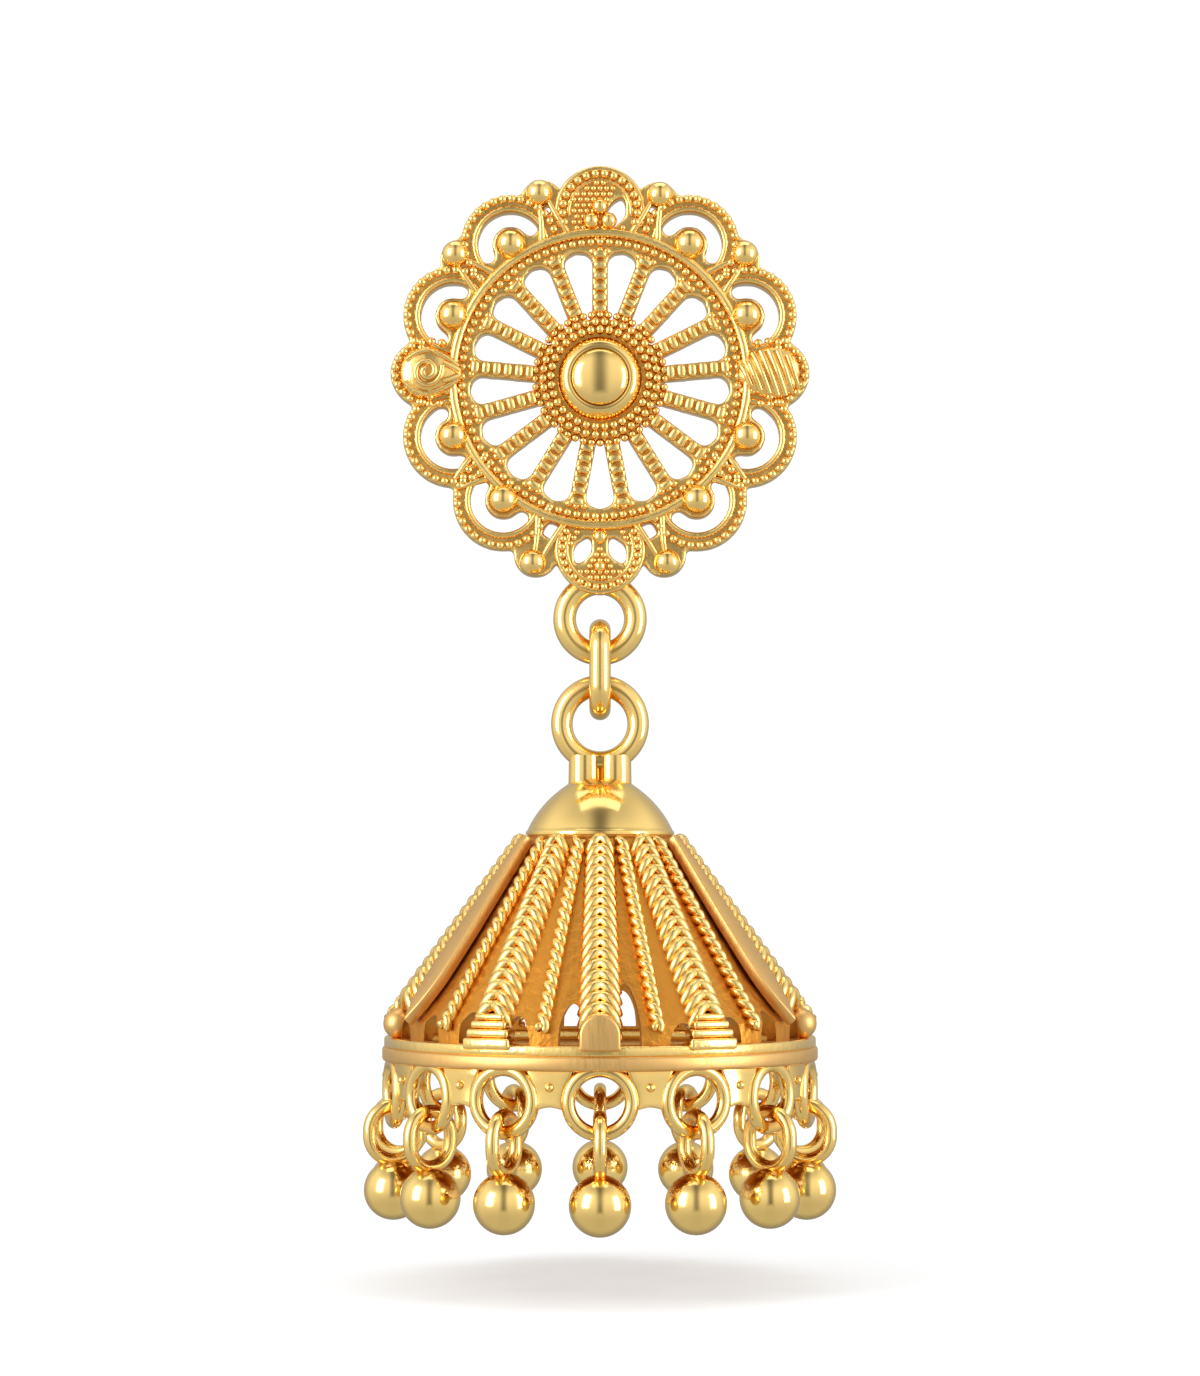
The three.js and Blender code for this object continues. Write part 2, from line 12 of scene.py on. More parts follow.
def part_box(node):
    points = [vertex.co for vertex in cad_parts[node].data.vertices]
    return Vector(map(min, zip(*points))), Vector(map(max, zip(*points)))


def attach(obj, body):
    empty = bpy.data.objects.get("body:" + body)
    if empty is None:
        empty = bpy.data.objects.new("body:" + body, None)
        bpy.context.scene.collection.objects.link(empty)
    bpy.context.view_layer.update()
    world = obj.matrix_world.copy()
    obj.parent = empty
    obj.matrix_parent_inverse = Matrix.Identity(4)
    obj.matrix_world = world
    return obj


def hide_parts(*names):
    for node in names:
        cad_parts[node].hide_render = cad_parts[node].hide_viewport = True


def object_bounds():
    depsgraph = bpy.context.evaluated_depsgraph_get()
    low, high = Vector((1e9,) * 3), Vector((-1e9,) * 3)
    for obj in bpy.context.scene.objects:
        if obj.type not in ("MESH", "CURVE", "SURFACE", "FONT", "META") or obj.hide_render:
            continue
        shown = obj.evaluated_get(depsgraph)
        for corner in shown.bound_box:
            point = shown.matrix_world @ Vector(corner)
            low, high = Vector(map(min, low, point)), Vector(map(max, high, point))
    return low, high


bl_info = {
    "name": "Jhumka Earring",
    "version": (1, 0, 0),
    "blender": (4, 5, 0),
    "location": "View3D > Sidebar > Jhumka",
    "description": "Builds the metalwork of a jhumka earring and a plain studio round it",
    "category": "Add Mesh",
}

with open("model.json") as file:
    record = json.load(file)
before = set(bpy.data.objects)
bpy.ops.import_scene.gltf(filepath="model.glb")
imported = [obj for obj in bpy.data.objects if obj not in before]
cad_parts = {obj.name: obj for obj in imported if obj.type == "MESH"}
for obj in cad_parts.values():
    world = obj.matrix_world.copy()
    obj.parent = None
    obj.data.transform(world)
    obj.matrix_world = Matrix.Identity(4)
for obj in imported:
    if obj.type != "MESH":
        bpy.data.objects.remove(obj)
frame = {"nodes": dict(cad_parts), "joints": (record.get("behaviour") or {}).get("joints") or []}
cad_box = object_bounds()

# All shapes are drawn in millimetres, and are made metres when a piece is finished.
MM = 0.001
JOINTS = {joint["name"]: joint for joint in frame["joints"]}
LINK_PIVOT = Vector(JOINTS["link_swing"]["pos_m"]) / MM
BELL_PIVOT = Vector(JOINTS["bell_swing"]["pos_m"]) / MM


def box_mm(node):
    low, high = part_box(node)
    return low / MM, high / MM


ROSETTE_LOW, ROSETTE_HIGH = box_mm("rosette")
STUD_LOW, STUD_HIGH = box_mm("centre_stud")
LINK_LOW, LINK_HIGH = box_mm("drop_link")
CAP_LOW, CAP_HIGH = box_mm("bell_cap")
SKIRT_LOW, SKIRT_HIGH = box_mm("bell_skirt")
RIM_LOW, RIM_HIGH = box_mm("bell_rim")
DROP_LOW, DROP_HIGH = box_mm("drop_01")
DROP_COUNT = sum(1 for name in frame["nodes"] if name.startswith("drop_") and name[5:].isdigit())
FULL_TURN = 2 * math.pi

# The rosette's lobes: angle clockwise from the top in degrees, reach as a share of the rosette's
# radius, size as a share of a lobe's radius, and what is pierced in it.
LOBES = [
    (0, 1.005, 0.89, "teardrop"),
    (33.4, 1.0, 1.0, "crescent"),
    (66.5, 0.987, 1.0, "crescent"),
    (88, 0.985, 1.0, "shell"),
    (111.5, 0.976, 1.0, "crescent"),
    (141.5, 0.965, 1.0, "crescent"),
    (180, 1.012, 0.89, "pair"),
    (-141.5, 0.965, 1.0, "crescent"),
    (-111.5, 0.976, 1.0, "crescent"),
    (-88, 0.985, 1.0, "flower"),
    (-66.5, 0.987, 1.0, "crescent"),
    (-33.4, 1.0, 1.0, "crescent"),
]

# Small balls between lobes: angle, and distance as a share of the rosette's radius.
VALLEY_BALLS = [(-18, 0.925), (18, 0.915), (49, 0.9), (-49, 0.9), (160, 0.92), (-160, 0.92)]

# Paired ridges in the valleys: angle, and how far out they run as a share of the radius.
VALLEY_LINES = [
    (17.5, 0.89), (50, 0.86), (126.5, 0.84), (161, 0.88),
    (-17.5, 0.89), (-50, 0.88), (-126.5, 0.84), (-161, 0.88),
]

# What stands at each place round the skirt, counted both ways from the front: rib, and foot.
PLACE_COUNT = 24
PLACES = [
    ("rope", "bullet"),
    ("wire", None),
    ("rope", "stepped"),
    ("wire", None),
    ("blade", None),
    ("rope", "ball"),
    ("wire", None),
    ("rope", "ball"),
    ("blade", None),
    ("wire", None),
    ("rope", "stepped"),
    ("wire", None),
    ("rope", "bullet"),
]

# How many of a rope rib's arches its foot stands in for.
COVERED = {"bullet": 0, "stepped": 1, "ball": 2}

# Half the radial length of a side lobe, and half its width.
SIDE_HALF = 1.7
SIDE_ACROSS = 1.5

# Heights of the arched holes, as shares of the tallest.
ARCH_SHARES = [1, 0.34, 0.42, 0.5, 0.45, 0.66]


def length(name, description, millimetres):
    return FloatProperty(
        name=name,
        description=description,
        default=millimetres * MM,
        min=0.0,
        unit="LENGTH",
        precision=5,
    )


def colour(name, description, value):
    return FloatVectorProperty(
        name=name, description=description, default=value, size=3, subtype="COLOR", min=0.0, max=1.0
    )


class EARRING_Sizes(bpy.types.PropertyGroup):
    """Sizes of the fine work, in metres."""

    plate: length("Plate", "Thickness of the rosette's plate", 0.9)
    rosette_radius: length("Rosette radius", "Radius to the outside of the lobes", 8.8)
    lobe_radius: length("Lobe radius", "Radius of a round lobe", 2.08)
    lobe_rim: length("Lobe rim", "Width of a lobe's raised edge", 0.72)
    slot_width: length("Crescent", "Width of a lobe's pierced crescent", 0.6)
    lobe_ball: length("Lobe ball", "Radius of the ball in a lobe", 0.63)
    valley_ball: length("Valley ball", "Radius of the balls between lobes", 0.56)
    field_radius: length("Field radius", "Radius to the outer ends of the spoke gaps", 5.4)
    band_width: length("Ring band", "Width of the band round the field", 0.9)
    hub_radius: length("Hub radius", "Radius of the beaded hub", 2.5)
    spoke_width: length("Spoke width", "Width of a spoke", 0.65)
    milgrain: length("Milgrain", "Radius of the beads along an edge", 0.18)
    rope_width: length("Rope rib", "Width of a rope rib at its foot", 1.6)
    rope_top: length("Rope rib top", "Width of a rope rib at its top", 1.15)
    rope_height: length("Rope height", "Height of a rope rib over the wall", 0.62)
    rope_pitch: length("Rope pitch", "Distance from one arch of a rope rib to the next", 0.5)
    wire_width: length("Twisted wire", "Width of the twisted wires between the ribs", 0.66)
    wire_pitch: length("Wire pitch", "Length of one full twist of a twisted wire", 1.0)
    blade_width: length("Blade width", "Greatest width of a satin blade", 1.3)
    spoke_count: IntProperty(
        name="Spokes", description="Number of spokes in the rosette", default=17, min=3
    )


class EARRING_Finish(bpy.types.PropertyGroup):
    """Colours and polish of the plating, with the colours of the painted shade in tight corners and on
    the wall.
    """

    gold: colour("Gold", "Colour of the polished plating", (0.94, 0.66, 0.225))
    # Painted shade: the colour painted into the tight corners of the relief, where shade falls; it is
    # not a colour of the plating there.
    corner_shade_colour: colour("Recess", "Colour of the plating deep in the relief", (0.89, 0.48, 0.1))
    # Painted shade: the wall is coloured darker orange for the shade that falls on it between the ribs;
    # its unpolished finish is only its higher roughness.
    wall: colour("Wall", "Colour of the unpolished wall behind the ribs", (0.66, 0.28, 0.04))
    satin: colour("Satin gold", "Colour of the brushed plating", (0.78, 0.48, 0.17))
    polish: FloatProperty(
        name="Polish", description="Roughness of the polished parts", default=0.14, min=0, max=1
    )
    cast: FloatProperty(
        name="Cast", description="Roughness of the cast relief", default=0.2, min=0, max=1
    )
    brushed: FloatProperty(
        name="Brushed", description="Roughness of the satin parts", default=0.4, min=0, max=1
    )


def sizes():
    return bpy.context.scene.earring_sizes


def finish_settings():
    return bpy.context.scene.earring_finish


# Materials

def new_material(name):
    material = bpy.data.materials.new(name)
    material.use_nodes = True
    nodes = material.node_tree.nodes
    shader = nodes["Principled BSDF"]
    shader.inputs["Metallic"].default_value = 1.0
    return material, nodes, material.node_tree.links, shader


def painted_corner_shade(nodes, links, shader, surface, corner_shade_colour, reach_mm, low, high):
    """Painted shade: base colour that goes from the corner shade colour in tight corners to the surface
    colour.
    """
    corner = nodes.new("ShaderNodeAmbientOcclusion")
    corner.samples = 8
    corner.inputs["Distance"].default_value = reach_mm * MM
    spread = nodes.new("ShaderNodeMapRange")
    spread.inputs["From Min"].default_value = low
    spread.inputs["From Max"].default_value = high
    links.new(corner.outputs["AO"], spread.inputs["Value"])
    mix = nodes.new("ShaderNodeMix")
    mix.data_type = "RGBA"
    mix.inputs["A"].default_value = (*corner_shade_colour, 1)
    mix.inputs["B"].default_value = (*surface, 1)
    links.new(spread.outputs["Result"], mix.inputs["Factor"])
    links.new(mix.outputs["Result"], shader.inputs["Base Color"])


def mottled_roughness(nodes, links, shader, coordinates, period_mm, low, high):
    noise = nodes.new("ShaderNodeTexNoise")
    noise.inputs["Scale"].default_value = 1 / (period_mm * MM)
    noise.inputs["Detail"].default_value = 3
    links.new(coordinates, noise.inputs["Vector"])
    spread = nodes.new("ShaderNodeMapRange")
    spread.inputs["From Min"].default_value = 0.3
    spread.inputs["From Max"].default_value = 0.7
    spread.inputs["To Min"].default_value = low
    spread.inputs["To Max"].default_value = high
    links.new(noise.outputs["Fac"], spread.inputs["Value"])
    links.new(spread.outputs["Result"], shader.inputs["Roughness"])


def fine_bump(nodes, links, shader, coordinates, period_mm, depth_mm, strength):
    noise = nodes.new("ShaderNodeTexNoise")
    noise.inputs["Scale"].default_value = 1 / (period_mm * MM)
    noise.inputs["Detail"].default_value = 2
    links.new(coordinates, noise.inputs["Vector"])
    bump = nodes.new("ShaderNodeBump")
    bump.inputs["Strength"].default_value = strength
    bump.inputs["Distance"].default_value = depth_mm * MM
    links.new(noise.outputs["Fac"], bump.inputs["Height"])
    links.new(bump.outputs["Normal"], shader.inputs["Normal"])


def polished_gold():
    material, nodes, links, shader = new_material("finish_polished_gold")
    finish = finish_settings()
    place = nodes.new("ShaderNodeTexCoord").outputs["Object"]
    # Painted shade in tight corners.
    painted_corner_shade(nodes, links, shader, finish.gold, finish.corner_shade_colour, 1.0, 0.35, 0.95)
    mottled_roughness(nodes, links, shader, place, 1.4, finish.polish * 0.7, finish.polish * 1.5)
    fine_bump(nodes, links, shader, place, 0.6, 0.02, 0.12)
    return material


def cast_gold():
    material, nodes, links, shader = new_material("finish_cast_gold")
    finish = finish_settings()
    place = nodes.new("ShaderNodeTexCoord").outputs["Object"]
    # Painted shade in tight corners.
    painted_corner_shade(nodes, links, shader, finish.gold, finish.corner_shade_colour, 0.7, 0.3, 0.95)
    mottled_roughness(nodes, links, shader, place, 0.7, finish.cast * 0.7, finish.cast * 1.5)
    fine_bump(nodes, links, shader, place, 0.3, 0.05, 0.4)
    return material


def satin_gold():
    """Brushed along the length: the noise is drawn out along Z."""
    material, nodes, links, shader = new_material("finish_satin_gold")
    finish = finish_settings()
    place = nodes.new("ShaderNodeTexCoord").outputs["Object"]
    stretch = nodes.new("ShaderNodeMapping")
    stretch.inputs["Scale"].default_value = (1, 1, 0.08)
    links.new(place, stretch.inputs["Vector"])
    # Painted shade in tight corners.
    painted_corner_shade(nodes, links, shader, finish.satin, finish.corner_shade_colour, 0.3, 0.2, 0.7)
    mottled_roughness(
        nodes, links, shader, stretch.outputs["Vector"], 0.1, finish.brushed * 0.8,
        finish.brushed * 1.3,
    )
    fine_bump(nodes, links, shader, stretch.outputs["Vector"], 0.07, 0.01, 0.3)
    return material


def wall_gold():
    """The unpolished ground between the ribs; its darker orange colour is painted shade for the shade
    that falls between the ribs, and its tight corners get darker painted shade.
    """
    material, nodes, links, shader = new_material("finish_wall_gold")
    finish = finish_settings()
    place = nodes.new("ShaderNodeTexCoord").outputs["Object"]
    # Painted shade: the tight corners of the wall go darker still.
    wall_corner_shade = tuple(0.85 * part for part in finish.wall)
    painted_corner_shade(nodes, links, shader, finish.wall, wall_corner_shade, 0.9, 0.3, 0.9)
    mottled_roughness(nodes, links, shader, place, 1.0, 0.34, 0.5)
    fine_bump(nodes, links, shader, place, 0.35, 0.1, 0.5)
    return material


MAKERS = {
    "polished_gold": polished_gold,
    "cast_gold": cast_gold,
    "satin_gold": satin_gold,
    "wall_gold": wall_gold,
}


def plating(name):
    return bpy.data.materials.get("finish_" + name) or MAKERS[name]()


# Mesh tools

def finish_piece(mesh, name, body, slot, replaces=(), sharp=None, look=None):
    """Puts a mesh drawn in millimetres into the scene as a finished piece."""
    mesh.transform(Matrix.Scale(MM, 4))
    mesh.shade_smooth()
    if sharp is not None:
        mesh.set_sharp_from_angle(angle=math.radians(sharp))
    mesh.materials.clear()
    mesh.materials.append(plating(look or slot))
    piece = bpy.data.objects.new(name, mesh)
    bpy.context.scene.collection.objects.link(piece)
    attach(piece, body)
    if replaces:
        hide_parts(*replaces)
    return piece


def to_mesh(bm, name):
    mesh = bpy.data.meshes.new(name)
    bm.to_mesh(mesh)
    bm.free()
    return mesh


def merge(bm, part, matrix=Matrix()):
    """Moves the shape held in another bmesh into this one."""
    part.transform(matrix)
    carrier = to_mesh(part, "carrier")
    bm.from_mesh(carrier)
    bpy.data.meshes.remove(carrier)


def stamp(bm, mesh, matrix):
    """Adds a copy of a mesh, moved by the matrix."""
    start = len(bm.verts)
    bm.from_mesh(mesh)
    bm.verts.ensure_lookup_table()
    bmesh.ops.transform(bm, matrix=matrix, verts=bm.verts[start:])


def tidy(part):
    bmesh.ops.remove_doubles(part, verts=part.verts, dist=1e-4)
    bmesh.ops.recalc_face_normals(part, faces=part.faces)
    return part


def turned(profile, steps):
    """A profile of (radius, height) points turned about Z."""
    part = bmesh.new()
    verts = [part.verts.new((radius, 0, height)) for radius, height in profile]
    edges = [part.edges.new(pair) for pair in zip(verts, verts[1:])]
    bmesh.ops.spin(
        part, geom=verts + edges, cent=(0, 0, 0), axis=(0, 0, 1), angle=FULL_TURN,
        steps=steps, use_merge=True,
    )
    return tidy(part)


def wire_ring(radius, wire, steps=64, sides=20, stretch=0.0):
    """A wire ring in the plane of X and Z, its halves drawn apart by stretch along Z."""
    part = bmesh.new()
    bmesh.ops.create_circle(
        part, segments=sides, radius=wire / 2, matrix=Matrix.Translation((radius, 0, 0))
    )
    bmesh.ops.rotate(part, matrix=Matrix.Rotation(math.pi / steps, 3, "Y"), verts=part.verts)
    bmesh.ops.spin(
        part, geom=part.verts[:] + part.edges[:], cent=(0, 0, 0), axis=(0, 1, 0),
        angle=FULL_TURN, steps=steps, use_merge=True,
    )
    for sign in (-1, 1):
        half = [vert for vert in part.verts if vert.co.z * sign > 0]
        bmesh.ops.translate(part, vec=(0, 0, sign * stretch / 2), verts=half)
    return tidy(part)


def wire_arc(radius, wire, half_angle, steps=28, sides=12):
    """A wire bent round an arc in the plane of X and Z, centred on +Z."""
    part = bmesh.new()
    bmesh.ops.create_circle(
        part, segments=sides, radius=wire / 2, matrix=Matrix.Translation((radius, 0, 0))
    )
    turn = Matrix.Rotation(-math.pi / 2 - half_angle, 3, "Y")
    bmesh.ops.rotate(part, matrix=turn, verts=part.verts)
    bmesh.ops.spin(
        part, geom=part.verts[:] + part.edges[:], cent=(0, 0, 0), axis=(0, 1, 0),
        angle=2 * half_angle, steps=steps,
    )
    bmesh.ops.holes_fill(part, edges=part.edges, sides=sides)
    return tidy(part)


def slab(outline, thickness, bevel=0.0, segments=3):
    """A flat outline in X and Z, as thick as stated about Y = 0, with rounded edges."""
    part = bmesh.new()
    verts = [part.verts.new((x, thickness / 2, z)) for x, z in outline]
    face = part.faces.new(verts)
    grown = bmesh.ops.extrude_face_region(part, geom=[face])
    moved = [item for item in grown["geom"] if isinstance(item, bmesh.types.BMVert)]
    bmesh.ops.translate(part, vec=(0, -thickness, 0), verts=moved)
    bmesh.ops.recalc_face_normals(part, faces=part.faces)
    if bevel:
        rims = [edge for edge in part.edges if edge.calc_face_angle(0) > math.radians(50)]
        bmesh.ops.bevel(
            part, geom=rims, offset=bevel, segments=segments, profile=0.5, affect="EDGES",
            material=-1, clamp_overlap=True,
        )
    return part


def strand(radius, offset, pitch, reach, hand, phase, steps_a_turn, sides):
    """One strand of a twisted rope that hangs from the origin along -Z."""
    part = bmesh.new()
    turns = reach / pitch
    start = Matrix.Rotation(phase, 4, "Z") @ Matrix.Translation((offset, 0, 0))
    tilt = Matrix.Rotation(math.radians(90) - math.atan2(FULL_TURN * offset, pitch), 4, "X")
    bmesh.ops.create_circle(part, segments=sides, radius=radius, matrix=start @ tilt)
    steps = round(turns * steps_a_turn)
    bmesh.ops.spin(
        part, geom=part.verts[:] + part.edges[:], cent=(0, 0, 0), axis=(0, 0, 1),
        dvec=(0, 0, -reach / steps), angle=hand * turns * FULL_TURN, steps=steps,
    )
    bmesh.ops.holes_fill(part, edges=part.edges, sides=sides)
    return tidy(part)


def ball(bm, centre, radius, segments=32, rings=20, squash=1.0):
    matrix = Matrix.Translation(centre) @ Matrix.Diagonal((1, squash, 1, 1))
    bmesh.ops.create_uvsphere(
        bm, u_segments=segments, v_segments=rings, radius=radius, matrix=matrix
    )


def grain(bm, centre, radius):
    bmesh.ops.create_icosphere(
        bm, subdivisions=2, radius=radius, matrix=Matrix.Translation(centre)
    )


def rod(bm, start, end, start_radius, end_radius, segments=14):
    start, end = Vector(start), Vector(end)
    along = end - start
    turn = along.to_track_quat("Z", "Y").to_matrix().to_4x4()
    bmesh.ops.create_cone(
        bm, cap_ends=True, segments=segments, radius1=start_radius, radius2=end_radius,
        depth=along.length, matrix=Matrix.Translation((start + end) / 2) @ turn,
    )


def bent_wire(bm, points, radius, taper=1.0):
    """A smooth wire through the points, its end taper times as thick as its start."""
    curve = bpy.data.curves.new("bent_wire", "CURVE")
    curve.dimensions = "3D"
    curve.bevel_depth = radius
    curve.bevel_resolution = 3
    curve.use_fill_caps = True
    spline = curve.splines.new("NURBS")
    spline.points.add(len(points) - 1)
    for i, point in enumerate(points):
        spline.points[i].co = (*point, 1)
        spline.points[i].radius = 1 + (taper - 1) * i / (len(points) - 1)
    spline.order_u = min(4, len(points))
    spline.use_endpoint_u = True
    spline.resolution_u = 6
    carrier = bpy.data.objects.new("bent_wire", curve)
    mesh = bpy.data.meshes.new_from_object(carrier)
    bm.from_mesh(mesh)
    bpy.data.objects.remove(carrier)
    bpy.data.curves.remove(curve)
    bpy.data.meshes.remove(mesh)


def pierced(body, cutters, voxel=None, smoothing=0):
    """The body's overlapping solids joined and cut through, and softened where voxel is given."""
    solid = bpy.data.objects.new("solid", to_mesh(body, "solid"))
    tool = bpy.data.objects.new("tool", to_mesh(cutters, "tool"))
    for carrier in (solid, tool):
        bpy.context.scene.collection.objects.link(carrier)
    cut = solid.modifiers.new("piercing", "BOOLEAN")
    cut.operation = "DIFFERENCE"
    cut.solver = "EXACT"
    cut.use_self = True
    cut.object = tool
    if voxel:
        remesh = solid.modifiers.new("casting", "REMESH")
        remesh.mode = "VOXEL"
        remesh.voxel_size = voxel
        smooth = solid.modifiers.new("softening", "SMOOTH")
        smooth.factor = 0.5
        smooth.iterations = smoothing
    graph = bpy.context.evaluated_depsgraph_get()
    mesh = bpy.data.meshes.new_from_object(solid.evaluated_get(graph))
    for carrier in (solid, tool):
        data = carrier.data
        bpy.data.objects.remove(carrier)
        bpy.data.meshes.remove(data)
    return mesh


def arc_points(radius, start, end, steps, centre=(0.0, 0.0)):
    points = []
    for i in range(steps + 1):
        angle = start + (end - start) * i / steps
        x = centre[0] + radius * math.sin(angle)
        points.append((x, centre[1] + radius * math.cos(angle)))
    return points


# The rosette

def on_rosette(radius, angle, y=0.0):
    """A place on the rosette: outwards is +Z in the piece's own frame."""
    turn = Matrix.Rotation(math.radians(angle), 4, "Y")
    return turn @ Matrix.Translation((0, y, radius))


def lobe_radius_of(size):
    return size * sizes().lobe_radius / MM


def lobe_centre(reach, size):
    return reach * sizes().rosette_radius / MM - lobe_radius_of(size)


def crescent_outline(inner, outer, half_angle):
    """A ring sector with round ends, its middle towards +Z."""
    middle, end = (inner + outer) / 2, (outer - inner) / 2
    points = arc_points(outer, -half_angle, half_angle, 24)
    tip = (middle * math.sin(half_angle), middle * math.cos(half_angle))
    points += arc_points(end, half_angle, half_angle + math.pi, 8, tip)[1:-1]
    points += arc_points(inner, half_angle, -half_angle, 18)
    tip = (-tip[0], tip[1])
    points += arc_points(end, math.pi - half_angle, 2 * math.pi - half_angle, 8, tip)[1:-1]
    return points


def gap_outline():
    """The gap between two spokes: pointed at the hub, wide and round-cornered outside."""
    s = sizes()
    half = math.pi / s.spoke_count
    field, hub = s.field_radius / MM, s.hub_radius / MM
    inset = s.spoke_width / 2 / MM
    corner = 0.42
    corner_z = field - corner - 0.08
    corner_x = (corner_z * math.sin(half) - inset - corner) / math.cos(half)
    tip_z = max(hub, inset / math.sin(half) + 0.06)
    tip_x = tip_z * math.tan(half) - inset / math.cos(half)
    right = arc_points(corner, 0.1, math.pi / 2 + half, 8, (corner_x, corner_z))
    left = [(-x, z) for x, z in reversed(right)]
    return [(0, field)] + right + [(tip_x, tip_z), (-tip_x, tip_z)] + left


def slit_outline(width, length_):
    top = [(width / 2 * math.sin(math.pi * t / 12), length_ * (t / 12 - 0.5)) for t in range(13)]
    back = [(-x, z) for x, z in reversed(top[1:-1])]
    return top + back


class EARRING_OT_rosette_plate(bpy.types.Operator):
    """Pierced plate of the rosette"""

    bl_idname = "earring.rosette_plate"
    bl_label = "Rosette plate"

    def execute(self, context):
        s = sizes()
        plate = s.plate / MM
        upright = Matrix.Rotation(math.pi / 2, 4, "X")
        body = bmesh.new()

        def disc(radius, matrix, scale=(1, 1)):
            shape = Matrix.Diagonal((scale[0], 1, scale[1], 1))
            bmesh.ops.create_cone(
                body, cap_ends=True, segments=64, radius1=radius, radius2=radius, depth=plate,
                matrix=matrix @ Matrix.Translation((0, -plate / 2, 0)) @ shape @ upright,
            )

        disc((s.field_radius + s.band_width) / MM, Matrix())
        radius = s.rosette_radius / MM
        cutters = bmesh.new()
        through = 4 * plate
        for angle, reach, size, kind in LOBES:
            if kind in ("shell", "flower"):
                disc(1, on_rosette(reach * radius - SIDE_HALF, angle), (SIDE_ACROSS, SIDE_HALF))
                continue
            centre = lobe_centre(reach, size)
            place = on_rosette(centre, angle)
            disc(lobe_radius_of(size), place)
            if kind == "crescent":
                outer = (s.lobe_radius - s.lobe_rim) / MM
                outline = crescent_outline(outer - s.slot_width / MM, outer, math.radians(84))
                merge(cutters, slab(outline, through), place)
            elif kind == "teardrop":
                tilt = Matrix.Rotation(math.radians(20), 4, "Y")
                move = Matrix.Translation((0.68, 0, -0.05))
                merge(cutters, slab(slit_outline(0.74, 1.5), through), place @ move @ tilt)
            else:
                for side in (-1, 1):
                    tilt = Matrix.Rotation(math.radians(28 * side), 4, "Y")
                    move = Matrix.Translation((0.72 * side, 0, 0.05))
                    merge(cutters, slab(slit_outline(0.7, 1.35), through), place @ move @ tilt)
        for angle, reach in VALLEY_BALLS:
            disc(0.9, on_rosette(reach * radius - 0.34, angle))
        for side in (-1, 1):
            place = on_rosette(7.25, 17 * side)
            merge(cutters, slab([(-0.22, 0.35), (0.22, 0.35), (0, -0.35)], through), place)
        for i in range(s.spoke_count):
            place = on_rosette(0, (i + 0.5) * 360 / s.spoke_count)
            merge(cutters, slab(gap_outline(), through), place)
        bmesh.ops.create_cone(
            cutters, cap_ends=True, segments=32, radius1=0.55, radius2=0.55, depth=through,
            matrix=upright,
        )
        mesh = pierced(body, cutters, voxel=0.1, smoothing=4)
        finish_piece(mesh, "rosette_plate", "stud", "cast_gold", ["rosette"])
        return {"FINISHED"}


class EARRING_OT_rosette_loop(bpy.types.Operator):
    """Heavy wire loop soldered below the rosette"""

    bl_idname = "earring.rosette_loop"
    bl_label = "Rosette loop"

    def execute(self, context):
        wire, radius = 0.94, 1.46
        bm = bmesh.new()
        place = Matrix.Translation((0, LINK_PIVOT.y, LINK_PIVOT.z + radius))
        merge(bm, wire_ring(radius, wire), place)
        finish_piece(to_mesh(bm, "rosette_loop"), "rosette_loop", "stud", "polished_gold")
        return {"FINISHED"}


